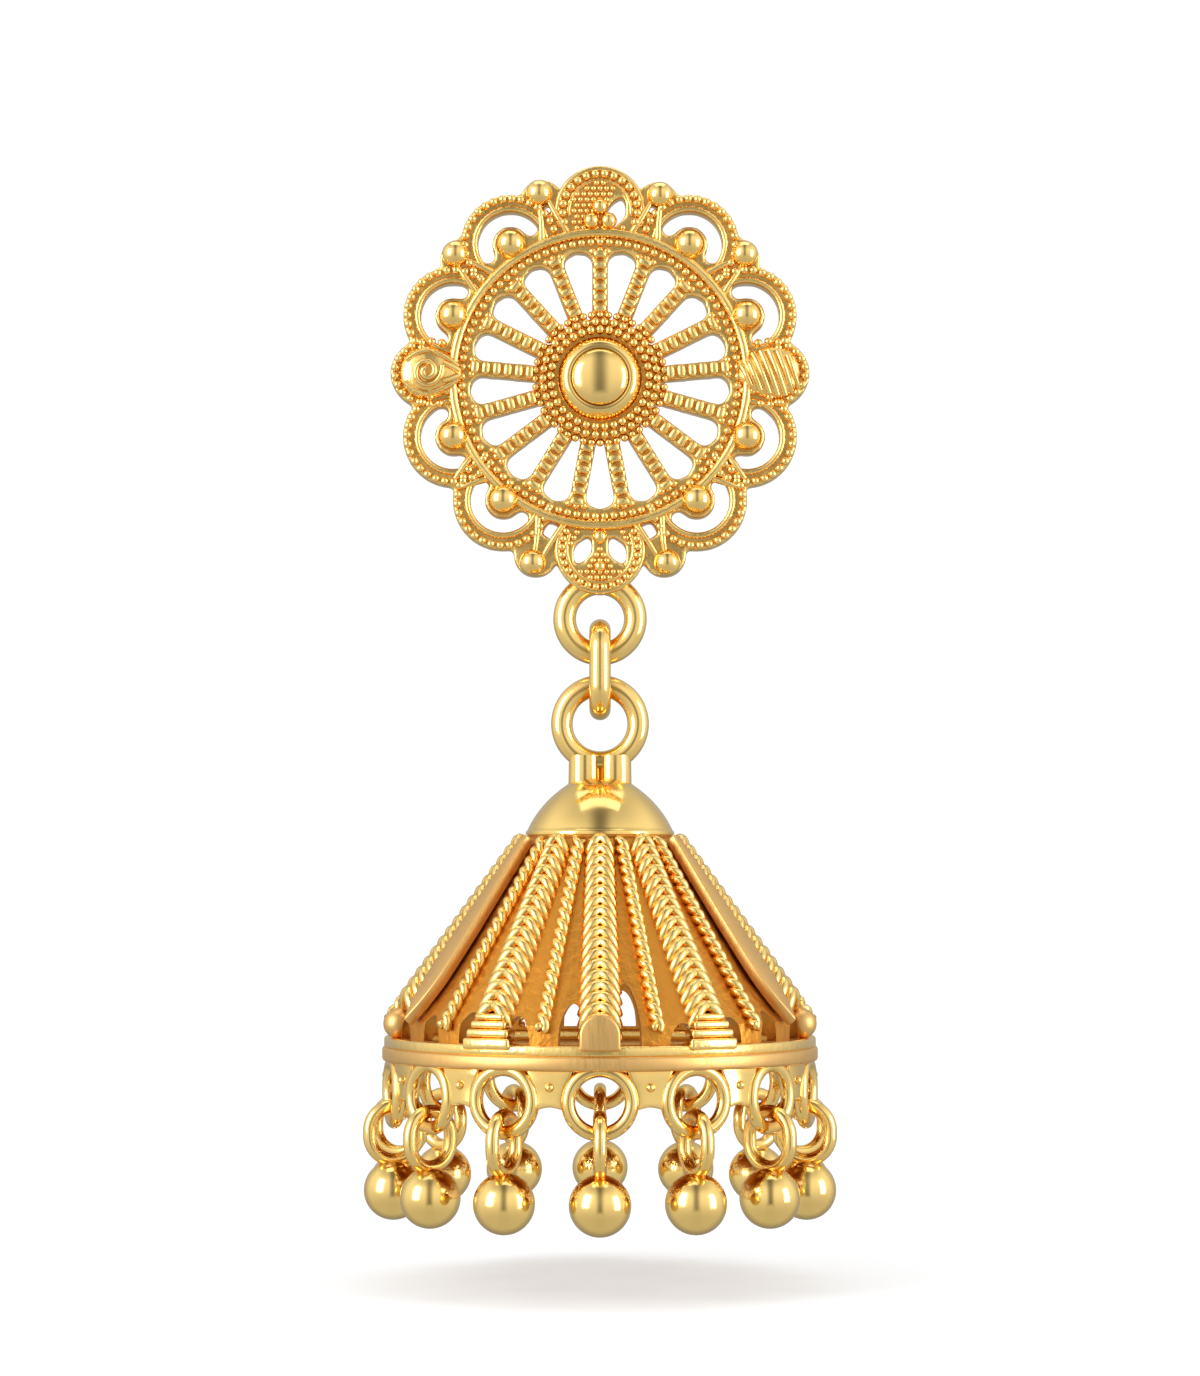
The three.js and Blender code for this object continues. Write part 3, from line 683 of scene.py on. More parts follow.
class EARRING_OT_rosette_wires(bpy.types.Operator):
    """Raised wires of the rosette: ring ridge, lips of the lobes, lines in the valleys"""

    bl_idname = "earring.rosette_wires"
    bl_label = "Rosette wires"

    def execute(self, context):
        s = sizes()
        front = -s.plate / MM
        radius = s.rosette_radius / MM
        bm = bmesh.new()
        ridge = (s.field_radius + s.band_width) / MM - 0.22
        merge(bm, wire_ring(ridge, 0.4, 160, 14), Matrix.Translation((0, front - 0.08, 0)))
        for angle, reach, size, kind in LOBES:
            centre = lobe_centre(reach, size)
            outer = lobe_radius_of(size)
            place = on_rosette(centre, angle, front)
            if kind == "crescent":
                lip = (s.lobe_radius - s.lobe_rim) / MM + 0.12
                merge(bm, wire_arc(lip, 0.26, math.radians(118)), place)
            elif kind == "teardrop":
                merge(bm, wire_arc(outer - 0.08, 0.24, math.radians(112)), place)
                merge(bm, wire_arc(outer - 0.55, 0.18, math.radians(100)), place)
            elif kind == "pair":
                merge(bm, wire_arc(outer - 0.1, 0.26, math.radians(125)), place)
                merge(bm, wire_arc(outer - 0.46, 0.2, math.radians(120)), place)
        for angle, reach in VALLEY_LINES:
            for side in (-1, 1):
                inner = on_rosette(ridge + 0.15, angle + 5.2 * side) @ Vector((0, front, 0))
                bend = on_rosette(6.9, angle + 2.8 * side) @ Vector((0, front - 0.14, 0))
                tip = on_rosette(reach * radius, angle + 1.3 * side) @ Vector((0, front, 0))
                bent_wire(bm, [inner, bend, tip], 0.15, 0.7)
        self.side_lobe(bm, on_rosette(0.985 * radius - SIDE_HALF, 88, front), self.flutes())
        self.side_lobe(bm, on_rosette(0.985 * radius - SIDE_HALF, -88, front), self.curl())
        finish_piece(to_mesh(bm, "rosette_wires"), "rosette_wires", "stud", "cast_gold")
        return {"FINISHED"}

    def side_lobe(self, bm, place, lines):
        """A low fan-shaped mound with raised lines on it."""
        across, high, along = SIDE_ACROSS - 0.42, 0.5, SIDE_HALF - 0.38
        mound = bmesh.new()
        ball(mound, (0, 0, 0), 1.0)
        for vert in mound.verts:
            vert.co.x *= 1 + 0.2 * vert.co.z
        merge(bm, mound, place @ Matrix.Diagonal((across, high, along, 1)))
        for line in lines:
            points = []
            for x, z in line:
                inside = max(0.0, 1 - (x / across) ** 2 - (z / along) ** 2)
                fan = 1 + 0.2 * z / along
                points.append(place @ Vector((x * fan, -high * math.sqrt(inside) - 0.03, z)))
            bent_wire(bm, points, 0.14, 0.8)

    def flutes(self):
        """Slanting flutes of the shell on the right."""
        lines = []
        for i in range(7):
            middle = -0.98 + 0.33 * i
            half = 0.9 * math.sqrt(max(0.08, 1 - (middle / 1.32) ** 2))
            lines.append([(half * t, middle + 0.35 * half * t) for t in (-1, -0.5, 0, 0.5, 1)])
        return lines

    def curl(self):
        """The spiral of the flower on the left, and its petals' edges."""
        spiral = []
        for i in range(20):
            turn, reach = 0.6 * i, 0.1 + 0.03 * i
            spiral.append((reach * math.cos(turn), 0.15 + reach * math.sin(turn)))
        lines = [spiral]
        for side in (-1, 1):
            lines.append([(0.3 * side, -1.1), (0.65 * side, -0.75), (0.86 * side, -0.1)])
            lines.append([(0.12 * side, -1.15), (0.3 * side, -0.85), (0.4 * side, -0.5)])
            lines.append([(0.9 * side, 0.1), (0.78 * side, 0.6), (0.38 * side, 1.05)])
        return lines


class EARRING_OT_rosette_grains(bpy.types.Operator):
    """Milgrain beads of the rosette, and the square grains on its spokes"""

    bl_idname = "earring.rosette_grains"
    bl_label = "Rosette grains"

    def execute(self, context):
        s = sizes()
        front = -s.plate / MM
        bead = s.milgrain / MM
        bm = bmesh.new()

        def ring(radius, size, y, phase=0.0):
            count = round(FULL_TURN * radius / (2.15 * size))
            for i in range(count):
                angle = (i + phase) * 360 / count
                grain(bm, on_rosette(radius, angle) @ Vector((0, y, 0)), size)

        def arc(place, radius, size, half_angle, y):
            count = round(2 * half_angle * radius / (2.15 * size))
            for x, z in arc_points(radius, -half_angle, half_angle, count):
                grain(bm, place @ Vector((x, y, z)), size)

        field = s.field_radius / MM
        ring(field + 0.3, bead, front - 0.04)
        ring(2.02, bead, front - 0.26)
        ring(2.34, bead, front - 0.2, 0.5)
        ring(2.66, bead * 0.9, front - 0.04)
        for i in range(s.spoke_count):
            for offset in (-3.2, 0, 3.2):
                place = on_rosette(field - 0.05 - abs(offset) * 0.012, i * 360 / s.spoke_count + offset)
                grain(bm, place @ Vector((0, front - 0.03, 0)), bead * 0.9)
        for angle, reach, size, kind in LOBES:
            place = on_rosette(lobe_centre(reach, size), angle)
            outer = lobe_radius_of(size)
            if kind == "crescent":
                arc(place, outer - 0.19, bead, math.radians(116), front - 0.05)
            elif kind == "teardrop":
                arc(place, outer - 0.3, bead, math.radians(108), front - 0.08)
                self.granulate(bm, place, front, outer - 0.62, [(0.68, -0.05, 20)])
            elif kind == "pair":
                arc(place, outer - 0.28, bead * 0.9, math.radians(118), front - 0.06)
                slits = [(0.72, 0.05, 28), (-0.72, 0.05, -28)]
                self.granulate(bm, place, front, outer - 0.6, slits)
            else:
                side = on_rosette(reach * s.rosette_radius / MM - SIDE_HALF, angle)
                for x, z in arc_points(1, math.radians(-105), math.radians(105), 13):
                    x, z = x * (SIDE_ACROSS - 0.2), z * (SIDE_HALF - 0.2)
                    grain(bm, side @ Vector((x, front - 0.03, z)), bead)
        self.spokes(bm, front)
        finish_piece(to_mesh(bm, "rosette_grains"), "rosette_grains", "stud", "cast_gold")
        return {"FINISHED"}

    def granulate(self, bm, place, front, reach, slits):
        """Small grains all over a lobe, clear of its slits (x, z, tilt in degrees)."""
        size, pitch = 0.125, 0.27
        count = math.ceil(reach / pitch)
        for row in range(-count, count + 1):
            for column in range(-count, count + 1):
                x = (column + 0.5 * (row % 2)) * pitch
                z = row * pitch * 0.87
                clear = math.hypot(x, z) < reach
                for slit_x, slit_z, tilt in slits:
                    turn = math.radians(tilt)
                    along = (x - slit_x) * math.sin(turn) + (z - slit_z) * math.cos(turn)
                    across = (x - slit_x) * math.cos(turn) - (z - slit_z) * math.sin(turn)
                    clear = clear and math.hypot(along / 0.92, across / 0.55) > 1
                if clear:
                    grain(bm, place @ Vector((x, front - 0.02, z)), size)

    def spokes(self, bm, front):
        s = sizes()
        pillow = bmesh.new()
        bmesh.ops.create_cube(pillow, size=1)
        bmesh.ops.scale(pillow, vec=(0.58, 0.4, 0.37), verts=pillow.verts)
        bmesh.ops.bevel(
            pillow, geom=pillow.edges[:], offset=0.15, segments=3, profile=0.5, affect="EDGES",
            material=-1,
        )
        mesh = to_mesh(pillow, "pillow")
        start, end, count = 2.92, s.field_radius / MM - 0.22, 6
        for i in range(s.spoke_count):
            for k in range(count):
                radius = start + (end - start) * k / (count - 1)
                place = on_rosette(radius, i * 360 / s.spoke_count, front - 0.06)
                stamp(bm, mesh, place)
        bpy.data.meshes.remove(mesh)


class EARRING_OT_rosette_balls(bpy.types.Operator):
    """Polished balls in the lobes and the valleys of the rosette"""

    bl_idname = "earring.rosette_balls"
    bl_label = "Rosette balls"

    def execute(self, context):
        s = sizes()
        front = -s.plate / MM
        bm = bmesh.new()
        for angle, reach, size, kind in LOBES:
            place = on_rosette(lobe_centre(reach, size), angle, front)
            if kind == "crescent":
                ball(bm, place @ Vector((0, -0.05, 0)), s.lobe_ball / MM)
                rod(bm, place @ Vector((0, 0.2, -0.2)), place @ Vector((0, 0.25, -0.6)), 0.5, 0.42)
            elif kind == "teardrop":
                for x, z in ((-0.36, -0.42), (0.36, -0.42), (0, 0.16)):
                    ball(bm, place @ Vector((x, -0.08, z)), 0.34, 24, 16)
            elif kind == "pair":
                ball(bm, place @ Vector((0, -0.05, 0.72)), 0.24, 20, 14)
                ball(bm, place @ Vector((0, -0.05, -0.5)), 0.3, 20, 14)
        for angle, reach in VALLEY_BALLS:
            place = on_rosette(reach * s.rosette_radius / MM, angle, front)
            ball(bm, place @ Vector((0, 0.05, 0)), s.valley_ball / MM)
        finish_piece(to_mesh(bm, "rosette_balls"), "rosette_balls", "stud", "polished_gold")
        return {"FINISHED"}


class EARRING_OT_centre_stud(bpy.types.Operator):
    """Polished dome in its collar, with the ear post behind it"""

    bl_idname = "earring.centre_stud"
    bl_label = "Centre stud"

    def execute(self, context):
        front, back = -STUD_LOW.y, -STUD_HIGH.y
        seat = sizes().plate / MM
        collar, dome, post = STUD_HIGH.x, 1.22, 0.425
        shoulder = seat + 0.24
        profile = [(0, back)]
        profile += [(post * 0.55, back), (post * 0.9, back + 0.06), (post, back + 0.2)]
        profile += [(post, seat + 0.1), (collar - 0.06, seat + 0.1), (collar, shoulder)]
        for step in range(1, 17):
            angle = 1.18 * math.pi / 2 * step / 16
            x = collar - (collar - dome) * step / 16
            profile.append((x, shoulder + 0.36 * math.sin(angle)))
        profile += [(dome, shoulder + 0.12), (dome - 0.04, shoulder + 0.12)]
        edge = shoulder + 0.3
        for step in range(0, 17):
            angle = math.pi / 2 * step / 16
            rise = (front - edge) * math.sin(angle)
            profile.append(((dome - 0.04) * math.cos(angle), edge + rise))
        bm = bmesh.new()
        merge(bm, turned(profile, 72), Matrix.Rotation(math.pi / 2, 4, "X"))
        mesh = to_mesh(bm, "centre_stud")
        finish_piece(mesh, "stud_and_post", "stud", "polished_gold", ["centre_stud"], sharp=50)
        return {"FINISHED"}


class EARRING_OT_link(bpy.types.Operator):
    """Oval link between the rosette and the bell"""

    bl_idname = "earring.link"
    bl_label = "Oval link"

    def execute(self, context):
        wire = LINK_HIGH.x * 2 / math.cos(math.pi / 6)
        width = LINK_HIGH.y - LINK_LOW.y
        height = LINK_HIGH.z - LINK_LOW.z
        ring = wire_ring((width - wire) / 2, wire, 64, 20, height - width)
        place = Matrix.Translation((LINK_LOW + LINK_HIGH) / 2) @ Matrix.Rotation(math.pi / 2, 4, "Z")
        bm = bmesh.new()
        merge(bm, ring, place)
        mesh = to_mesh(bm, "link_wire")
        finish_piece(mesh, "link_wire", "link", "polished_gold", ["drop_link"])
        return {"FINISHED"}


# The bell

def bell_axis(z=0.0):
    return Matrix.Translation((0, BELL_PIVOT.y, z))


def bowed(start, pull, end, steps):
    """Points of a curve from start to end, bowed towards pull."""
    points = []
    for i in range(steps + 1):
        t = i / steps
        parts = zip(start, pull, end)
        points.append(tuple((1 - t) ** 2 * a + 2 * t * (1 - t) * b + t * t * c for a, b, c in parts))
    return points


class EARRING_OT_bell_cap(bpy.types.Operator):
    """Ring, neck and hollow dome on top of the bell"""

    bl_idname = "earring.bell_cap"
    bl_label = "Bell cap"

    def execute(self, context):
        edge, neck, rise, top = CAP_HIGH.x, 1.3, 2.1, 2.39
        lip = 0.06
        profile = [(0, top), (0.7, top - 0.07)]
        profile += bowed((neck, rise), (2.48, 1.32), (edge - lip, 0.18), 20)
        profile += [(edge - lip / 3, 0.15), (edge, 0.09), (edge, 0), (edge - 0.45, 0)]
        profile += bowed((edge - 0.5, 0.1), (2.1, 0.95), (neck - 0.3, 1.7), 16)
        profile.append((0, 1.9))
        bm = bmesh.new()
        merge(bm, turned(profile, 96), bell_axis(CAP_LOW.z))
        ring_radius, wire = 1.57, 0.89
        ring_z = CAP_HIGH.z - ring_radius - wire / 2
        merge(bm, wire_ring(ring_radius, wire), bell_axis(ring_z))
        for side in (-1, 1):
            head = bell_axis() @ Vector((side * 0.62, 0, ring_z - 1.3))
            foot = bell_axis() @ Vector((side * 0.62, 0, CAP_LOW.z + top - 0.4))
            rod(bm, head, foot, 0.66, 0.68, 32)
        mesh = to_mesh(bm, "cap")
        finish_piece(mesh, "cap_and_ring", "bell", "polished_gold", ["bell_cap"], sharp=50)
        return {"FINISHED"}


def skirt_line():
    """Top point and foot point of the ribs' middle line, as (radius, height)."""
    base_top = SKIRT_LOW.z + 0.3
    return (3.2, SKIRT_HIGH.z - 0.3), (8.4, base_top + 0.75)


def skirt_lean():
    top, foot = skirt_line()
    return math.atan2(foot[0] - top[0], top[1] - foot[1])


def skirt_reach():
    top, foot = skirt_line()
    return math.hypot(foot[0] - top[0], top[1] - foot[1])


def on_skirt(place):
    """A place on the skirt: the rib runs along -Z from its top, and -Y is outwards."""
    top, _ = skirt_line()
    turn = Matrix.Rotation(place * FULL_TURN / PLACE_COUNT, 4, "Z")
    tilt = Matrix.Rotation(-skirt_lean(), 4, "X")
    return bell_axis() @ turn @ Matrix.Translation((0, -top[0], top[1])) @ tilt


def round_bell(share, radius, z):
    """A place on the bell, share of a turn round it, with -Y outwards."""
    turn = Matrix.Rotation(share * FULL_TURN, 4, "Z")
    return bell_axis() @ turn @ Matrix.Translation((0, -radius, z))


def skirt_places(kind):
    """The places round the skirt that hold this kind of rib or foot."""
    return [i for i in range(PLACE_COUNT) if kind in PLACES[min(i, PLACE_COUNT - i)]]


def rounded_band(inner, outer, bottom, top, soft):
    """The section of a flat ring with softened edges."""
    part = soft * 0.3
    return [
        (inner + soft, bottom), (outer - soft, bottom), (outer - part, bottom + part),
        (outer, bottom + soft), (outer, top - soft), (outer - part, top - part),
        (outer - soft, top), (inner + soft, top), (inner, top - soft),
        (inner, bottom + soft), (inner + soft, bottom),
    ]


class EARRING_OT_skirt_wall(bpy.types.Operator):
    """Conical wall behind the ribs, with arched holes at its foot"""

    bl_idname = "earring.skirt_wall"
    bl_label = "Skirt wall"

    def execute(self, context):
        top, foot = skirt_line()
        across = 0.45 / math.cos(skirt_lean())
        top_radius = top[0] - 0.3 * math.tan(skirt_lean())
        base_top = SKIRT_LOW.z + 0.3
        under_cap = SKIRT_HIGH.z + 0.2
        profile = [
            (top_radius, under_cap),
            (top_radius, SKIRT_HIGH.z),
            foot,
            (foot[0], base_top - 0.1),
            (foot[0] - 0.42, base_top - 0.1),
            (foot[0] - across, foot[1]),
            (top_radius - across, under_cap),
            (top_radius, under_cap),
        ]
        body = bmesh.new()
        merge(body, turned(profile, 112), bell_axis())
        cutters = bmesh.new()
        half, steps = 0.52, 10
        for i in range(PLACE_COUNT):
            height = ARCH_SHARES[i % len(ARCH_SHARES)] * 2.3
            outline = [(half, -0.05)]
            for step in range(2 * steps + 1):
                angle = math.pi / 2 * step / steps
                outline.append((half * math.cos(angle), height * math.sin(angle)))
            outline.append((-half, -0.05))
            place = round_bell((i + 0.5) / PLACE_COUNT, foot[0], base_top + 0.06)
            merge(cutters, slab(outline, 3.6), place)
        mesh = pierced(body, cutters)
        finish_piece(
            mesh, "skirt_wall", "bell", "cast_gold", ["bell_skirt"], sharp=35, look="wall_gold"
        )
        ledge = rounded_band(foot[0] - 0.42, foot[0] + 0.42, RIM_HIGH.z - 0.05, base_top, 0.1)
        bm = bmesh.new()
        merge(bm, turned(ledge, 140), bell_axis())
        finish_piece(to_mesh(bm, "ledge"), "skirt_ledge", "bell", "cast_gold", sharp=50)
        return {"FINISHED"}


class EARRING_OT_rope_ribs(bpy.types.Operator):
    """Main ribs of the skirt: rows of arched strands, as two ropes twisted opposite ways make"""

    bl_idname = "earring.rope_ribs"
    bl_label = "Rope ribs"

    def execute(self, context):
        s = sizes()
        width, height = s.rope_width / MM, s.rope_height / MM
        narrow = s.rope_top / s.rope_width
        strand_radius = 0.24
        arch = bmesh.new()
        points = []
        for across, up, back in (
            (-0.5, 0.1, -0.62), (-0.46, 0.5, -0.5), (-0.3, 0.88, -0.24), (-0.12, 0.94, 0.0),
            (0, 0.8, 0.06),
            (0.12, 0.94, 0.0), (0.3, 0.88, -0.24), (0.46, 0.5, -0.5), (0.5, 0.1, -0.62),
        ):
            x = across * (width - 1.2 * strand_radius)
            points.append((x, strand_radius - up * height, back * 0.9))
        bent_wire(arch, points, strand_radius)
        mesh = to_mesh(arch, "arch")
        reach = skirt_reach() + 0.4
        start = 0.0
        count = round((reach - start) / (s.rope_pitch / MM))
        bm = bmesh.new()
        for i in skirt_places("rope"):
            place = on_skirt(i)
            _, foot = PLACES[min(i, PLACE_COUNT - i)]
            for k in range(count - COVERED[foot]):
                down = start + (reach - start) * (k + 0.5) / count
                grown = narrow + (1 - narrow) * min(1.0, max(0.0, 1.2 * down / reach))
                scale = Matrix.Diagonal((grown, 0.75 + 0.25 * grown, 0.8 + 0.2 * grown, 1))
                stamp(bm, mesh, place @ Matrix.Translation((0, 0, 0.3 - down)) @ scale)
        bpy.data.meshes.remove(mesh)
        finish_piece(to_mesh(bm, "rope_ribs"), "rope_ribs", "bell", "cast_gold")
        return {"FINISHED"}


class EARRING_OT_twisted_wires(bpy.types.Operator):
    """Thin twisted wires between the ribs"""

    bl_idname = "earring.twisted_wires"
    bl_label = "Twisted wires"

    def execute(self, context):
        s = sizes()
        width = s.wire_width / MM
        above = 0.15
        reach = skirt_reach() + above + 0.25
        part = bmesh.new()
        for phase in (0, math.pi):
            merge(part, strand(width * 0.27, width * 0.2, s.wire_pitch / MM, reach, 1, phase, 12, 8))
        mesh = to_mesh(part, "twist")
        bm = bmesh.new()
        for i in skirt_places("wire"):
            stamp(bm, mesh, on_skirt(i) @ Matrix.Translation((0, -0.12, above)))
        bpy.data.meshes.remove(mesh)
        finish_piece(to_mesh(bm, "twisted_wires"), "twisted_wires", "bell", "cast_gold")
        return {"FINISHED"}


class EARRING_OT_blades(bpy.types.Operator):
    """Flat satin blades among the ribs"""

    bl_idname = "earring.blades"
    bl_label = "Satin blades"

    def execute(self, context):
        above = 0.1
        reach = skirt_reach() + above + 0.3
        half, tip = sizes().blade_width / 2 / MM, 0.24
        widest = 0.72
        side = []
        for step in range(25):
            t = step / 24
            if t < widest:
                width = tip + (half - tip) * math.sin(math.pi / 2 * t / widest) ** 1.2
            else:
                width = half * (1 - ((t - widest) / (1 - widest)) ** 2)
            side.append((width, above - t * reach))
        outline = side + [(-x, z) for x, z in reversed(side[:-1])]
        mesh = to_mesh(slab(outline, 0.46, 0.07), "blade")
        bm = bmesh.new()
        for i in skirt_places("blade"):
            stamp(bm, mesh, on_skirt(i) @ Matrix.Translation((0, -0.3, 0)))
        bpy.data.meshes.remove(mesh)
        finish_piece(to_mesh(bm, "blades"), "blades", "bell", "satin_gold", sharp=40)
        return {"FINISHED"}


class EARRING_OT_feet(bpy.types.Operator):
    """Feet of the ribs on the ledge of the skirt"""

    bl_idname = "earring.feet"
    bl_label = "Rib feet"

    def execute(self, context):
        _, foot = skirt_line()
        base = SKIRT_LOW.z + 0.3
        satin, cast = bmesh.new(), bmesh.new()
        arch = arc_points(0.8, -math.pi / 2, math.pi / 2, 18, (0, 0.42))
        bullet = [(-0.8, -0.2)] + arch + [(0.8, -0.2)]
        for i in skirt_places("bullet"):
            place = round_bell(i / PLACE_COUNT, foot[0] + 0.12, base)
            merge(satin, slab(bullet, 0.8, 0.12), place)
        for i in skirt_places("ball"):
            ball(satin, round_bell(i / PLACE_COUNT, foot[0], base + 0.58).translation, 0.62)
        steps = ((1.05, -0.2, 0.26), (0.94, 0.26, 0.6), (0.8, 0.6, 0.92), (0.66, 0.92, 1.2))
        for i in skirt_places("stepped"):
            place = round_bell(i / PLACE_COUNT, foot[0] + 0.16, base)
            for step, (half, low, high) in enumerate(steps):
                shape = [(-half, low), (half, low), (half, high), (-half, high)]
                back = Matrix.Translation((0, 0.09 * step, 0))
                merge(cast, slab(shape, 0.74, 0.13), place @ back)
        finish_piece(to_mesh(satin, "plain_feet"), "plain_feet", "bell", "satin_gold", sharp=50)
        finish_piece(to_mesh(cast, "stepped_feet"), "stepped_feet", "bell", "cast_gold", sharp=60)
        return {"FINISHED"}


class EARRING_OT_rim(bpy.types.Operator):
    """Rim band with its eyelets"""

    bl_idname = "earring.rim"
    bl_label = "Rim and eyelets"

    def execute(self, context):
        outer, inner = RIM_HIGH.x, RIM_HIGH.x - 0.75
        top, bottom = RIM_HIGH.z, RIM_HIGH.z - 0.58
        profile = rounded_band(inner, outer, bottom, top, 0.12)
        band = bmesh.new()
        merge(band, turned(profile, 140), bell_axis())
        mesh = to_mesh(band, "rim_band")
        finish_piece(mesh, "rim_band", "bell", "satin_gold", ["bell_rim"], sharp=50)
        circle = (inner + outer) / 2
        eyelet, wire, down, thick = 1.225, 0.56, 1.17, 0.42
        side = [(0.95, 0.1), (0.8, -0.3), (0.63, -0.6), (0.55, -0.9), (0.53, -1.2), (0.56, -1.5)]
        side += [(0.28, -1.42)]
        outline = side + [(0, -1.37)] + [(-x, z) for x, z in reversed(side)]
        web = to_mesh(slab(outline, thick, 0.09), "web")
        bm = bmesh.new()
        for i in range(DROP_COUNT):
            ring = wire_ring(eyelet, wire, 48, 14)
            merge(bm, ring, round_bell(i / DROP_COUNT, circle, bottom - down))
            between = round_bell((i + 0.5) / DROP_COUNT, circle, bottom)
            stamp(bm, web, between)
            grain(bm, between @ Vector((0, -thick / 2, -0.62)), 0.18)
        bpy.data.meshes.remove(web)
        finish_piece(to_mesh(bm, "eyelets"), "eyelets", "bell", "polished_gold", sharp=50)
        return {"FINISHED"}


class EARRING_OT_drops(bpy.types.Operator):
    """Ball drops on their wire loops"""

    bl_idname = "earring.drops"
    bl_label = "Ball drops"

    def execute(self, context):
        ball_radius = 1.2
        wire, loop, stretch = 0.54, 0.98, 0.22
        ball_z = DROP_LOW.z + ball_radius
        loop_z = ball_z + ball_radius + loop + stretch / 2
        circle = RIM_HIGH.x - 0.375
        for i in range(DROP_COUNT):
            bm = bmesh.new()
            place = round_bell(i / DROP_COUNT, circle, 0)
            ball(bm, place @ Vector((0, 0, ball_z)), ball_radius, 48, 32)
            ring = wire_ring(loop, wire, 44, 14, stretch)
            turn = Matrix.Rotation(math.pi / 2, 4, "Z")
            merge(bm, ring, place @ Matrix.Translation((0, 0, loop_z)) @ turn)
            name = f"drop_{i + 1:02d}"
            mesh = to_mesh(bm, name)
            finish_piece(mesh, "ball_" + name, "bell", "polished_gold", [name], sharp=60)
        return {"FINISHED"}


# The stage

def area_light(name, place, target, size, power, tint=(1, 1, 1)):
    data = bpy.data.lights.new(name, "AREA")
    data.shape = "RECTANGLE"
    data.size, data.size_y = size
    data.energy = power
    data.color = tint
    light = bpy.data.objects.new(name, data)
    bpy.context.scene.collection.objects.link(light)
    light.location = place
    aim = Vector(target) - Vector(place)
    light.rotation_euler = aim.to_track_quat("-Z", "Y").to_euler()
    return light


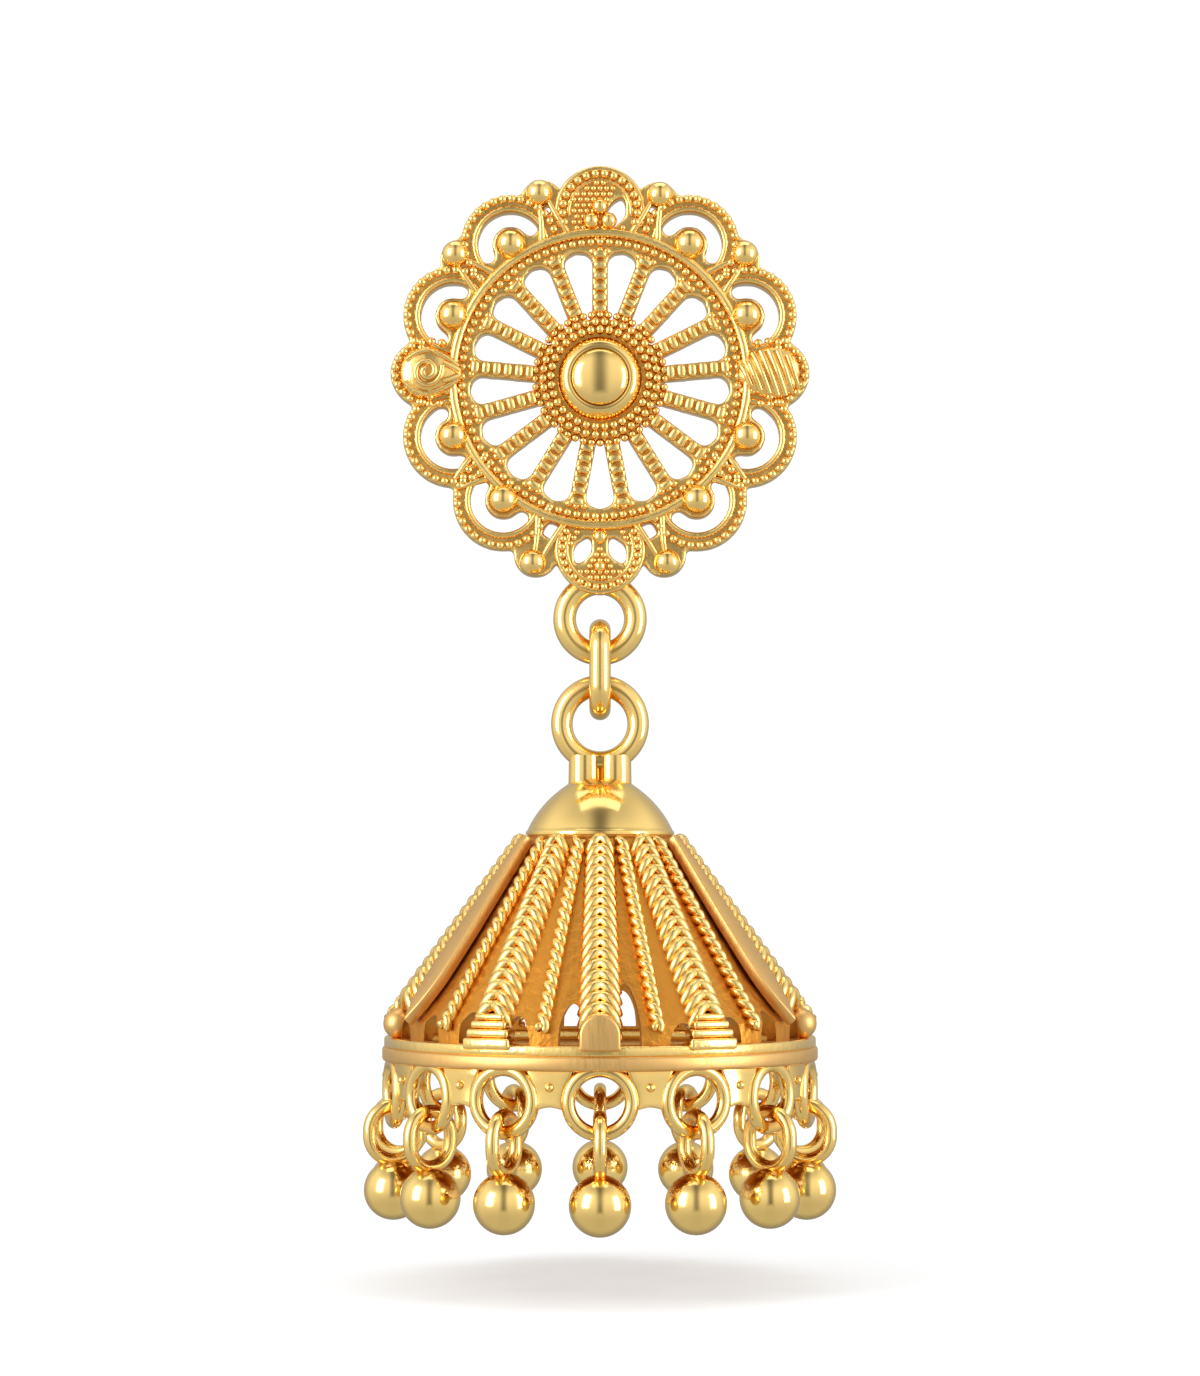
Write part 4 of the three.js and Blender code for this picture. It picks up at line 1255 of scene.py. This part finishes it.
class EARRING_OT_stage(bpy.types.Operator):
    """White floor, studio light and the camera"""

    bl_idname = "earring.stage"
    bl_label = "Stage"

    def execute(self, context):
        scene = context.scene
        self.floor()
        self.world(scene)
        self.lights()
        self.camera(scene)
        scene.view_settings.view_transform = "Standard"
        scene.view_settings.look = "None"
        return {"FINISHED"}

    def floor(self):
        drop = 2.7
        bm = bmesh.new()
        bmesh.ops.create_grid(bm, x_segments=1, y_segments=1, size=3000)
        bmesh.ops.translate(bm, vec=(0, 0, DROP_LOW.z - drop), verts=bm.verts)
        mesh = to_mesh(bm, "floor")
        mesh.transform(Matrix.Scale(MM, 4))
        material, nodes, links, shader = new_material("white_floor")
        shader.inputs["Metallic"].default_value = 0
        shader.inputs["Base Color"].default_value = (0.66, 0.68, 0.7, 1)
        shader.inputs["Roughness"].default_value = 0.9
        shader.inputs["Emission Color"].default_value = (1, 1, 1, 1)
        shader.inputs["Emission Strength"].default_value = 0.36
        place = nodes.new("ShaderNodeTexCoord").outputs["Object"]
        away = nodes.new("ShaderNodeVectorMath")
        away.operation = "LENGTH"
        links.new(place, away.inputs[0])
        fade = nodes.new("ShaderNodeMapRange")
        fade.interpolation_type = "SMOOTHSTEP"
        fade.inputs["From Min"].default_value = 0.035
        fade.inputs["From Max"].default_value = 0.08
        links.new(away.outputs["Value"], fade.inputs["Value"])
        plain = nodes.new("ShaderNodeEmission")
        plain.inputs["Color"].default_value = (1, 1, 1, 1)
        plain.inputs["Strength"].default_value = 1.05
        mix = nodes.new("ShaderNodeMixShader")
        links.new(fade.outputs["Result"], mix.inputs["Fac"])
        links.new(shader.outputs["BSDF"], mix.inputs[1])
        links.new(plain.outputs["Emission"], mix.inputs[2])
        links.new(mix.outputs["Shader"], nodes["Material Output"].inputs["Surface"])
        mesh.materials.append(material)
        ground = bpy.data.objects.new("floor", mesh)
        bpy.context.scene.collection.objects.link(ground)
        ground.visible_glossy = False

    def world(self, scene):
        world = bpy.data.worlds.new("studio")
        scene.world = world
        world.use_nodes = True
        nodes, links = world.node_tree.nodes, world.node_tree.links
        around = nodes["Background"]
        around.inputs["Color"].default_value = (1, 1, 1, 1)
        way = nodes.new("ShaderNodeSeparateXYZ")
        links.new(nodes.new("ShaderNodeTexCoord").outputs["Generated"], way.inputs["Vector"])

        def ramp(value, start, end, low, high):
            node = nodes.new("ShaderNodeMapRange")
            node.interpolation_type = "SMOOTHSTEP"
            for name, number in (
                ("From Min", start), ("From Max", end), ("To Min", low), ("To Max", high)
            ):
                node.inputs[name].default_value = number
            links.new(value, node.inputs["Value"])
            return node.outputs["Result"]

        def combine(operation, *values):
            node = nodes.new("ShaderNodeMath")
            node.operation = operation
            for slot, value in enumerate(values):
                links.new(value, node.inputs[slot])
            return node.outputs["Value"]

        sideways = combine("ABSOLUTE", way.outputs["X"])
        strip = ramp(sideways, 0.02, 0.32, 0.3, 1.05)
        low = ramp(way.outputs["Z"], -0.1, -0.5, 0.0, 1.0)
        front = combine("MAXIMUM", strip, ramp(way.outputs["Y"], -0.4, 0.1, 0.0, 1.0))
        front = combine("MAXIMUM", front, low)
        behind = ramp(way.outputs["Y"], 0.1, 0.85, 1.0, 0.5)
        above = ramp(way.outputs["Z"], -0.8, 0.5, 0.6, 1.05)
        overhead = ramp(way.outputs["Z"], 0.6, 1.0, 1.0, 0.55)
        level = combine("MULTIPLY", combine("MULTIPLY", front, behind), above)
        level = combine("MULTIPLY", level, overhead)
        links.new(level, around.inputs["Strength"])
        seen = nodes.new("ShaderNodeBackground")
        seen.inputs["Color"].default_value = (1, 1, 1, 1)
        seen.inputs["Strength"].default_value = 1.05
        path = nodes.new("ShaderNodeLightPath")
        mix = nodes.new("ShaderNodeMixShader")
        links.new(path.outputs["Is Camera Ray"], mix.inputs["Fac"])
        links.new(around.outputs["Background"], mix.inputs[1])
        links.new(seen.outputs["Background"], mix.inputs[2])
        links.new(mix.outputs["Shader"], nodes["World Output"].inputs["Surface"])

    def lights(self):
        middle = (0, 0, -0.014)
        area_light("left_softbox", (-0.22, -0.16, 0.06), middle, (0.13, 0.22), 0.5)
        area_light("right_softbox", (0.24, -0.11, 0.02), middle, (0.1, 0.2), 0.34)
        area_light("top_softbox", (0, 0.04, 0.27), middle, (0.24, 0.2), 0.18)

    def camera(self, scene):
        distance, height = 137.0, -20.5
        middle = (cad_box[0] + cad_box[1]) / 2 / MM
        tall = (cad_box[1] - cad_box[0]).z / MM
        fill = 0.76
        data = bpy.data.cameras.new("camera")
        data.lens = data.sensor_width * distance * fill / tall
        data.clip_start = 0.005
        camera = bpy.data.objects.new("camera", data)
        scene.collection.objects.link(camera)
        eye = Vector((0, -distance, height)) * MM
        camera.location = eye
        aim = Vector((0, 0, middle.z)) * MM - eye
        camera.rotation_euler = aim.to_track_quat("-Z", "Y").to_euler()
        scene.camera = camera


OPERATORS = [
    EARRING_OT_rosette_plate,
    EARRING_OT_rosette_loop,
    EARRING_OT_rosette_wires,
    EARRING_OT_rosette_grains,
    EARRING_OT_rosette_balls,
    EARRING_OT_centre_stud,
    EARRING_OT_link,
    EARRING_OT_bell_cap,
    EARRING_OT_skirt_wall,
    EARRING_OT_rope_ribs,
    EARRING_OT_twisted_wires,
    EARRING_OT_blades,
    EARRING_OT_feet,
    EARRING_OT_rim,
    EARRING_OT_drops,
    EARRING_OT_stage,
]


class EARRING_PT_panel(bpy.types.Panel):
    """Sidebar panel that lists the pieces"""

    bl_label = "Jhumka Earring"
    bl_idname = "EARRING_PT_panel"
    bl_space_type = "VIEW_3D"
    bl_region_type = "UI"
    bl_category = "Jhumka"

    def draw(self, context):
        layout = self.layout
        for group in (context.scene.earring_sizes, context.scene.earring_finish):
            box = layout.box()
            for name in group.__annotations__:
                box.prop(group, name)
        for operator in OPERATORS:
            layout.operator(operator.bl_idname)


CLASSES = [EARRING_Sizes, EARRING_Finish, *OPERATORS, EARRING_PT_panel]


def register():
    for cls in CLASSES:
        bpy.utils.register_class(cls)
    bpy.types.Scene.earring_sizes = PointerProperty(type=EARRING_Sizes)
    bpy.types.Scene.earring_finish = PointerProperty(type=EARRING_Finish)


def unregister():
    del bpy.types.Scene.earring_finish
    del bpy.types.Scene.earring_sizes
    for cls in reversed(CLASSES):
        bpy.utils.unregister_class(cls)


def main():
    register()
    for operator in OPERATORS:
        group, name = operator.bl_idname.split(".")
        getattr(getattr(bpy.ops, group), name)()


if __name__ == "__main__":
    main()
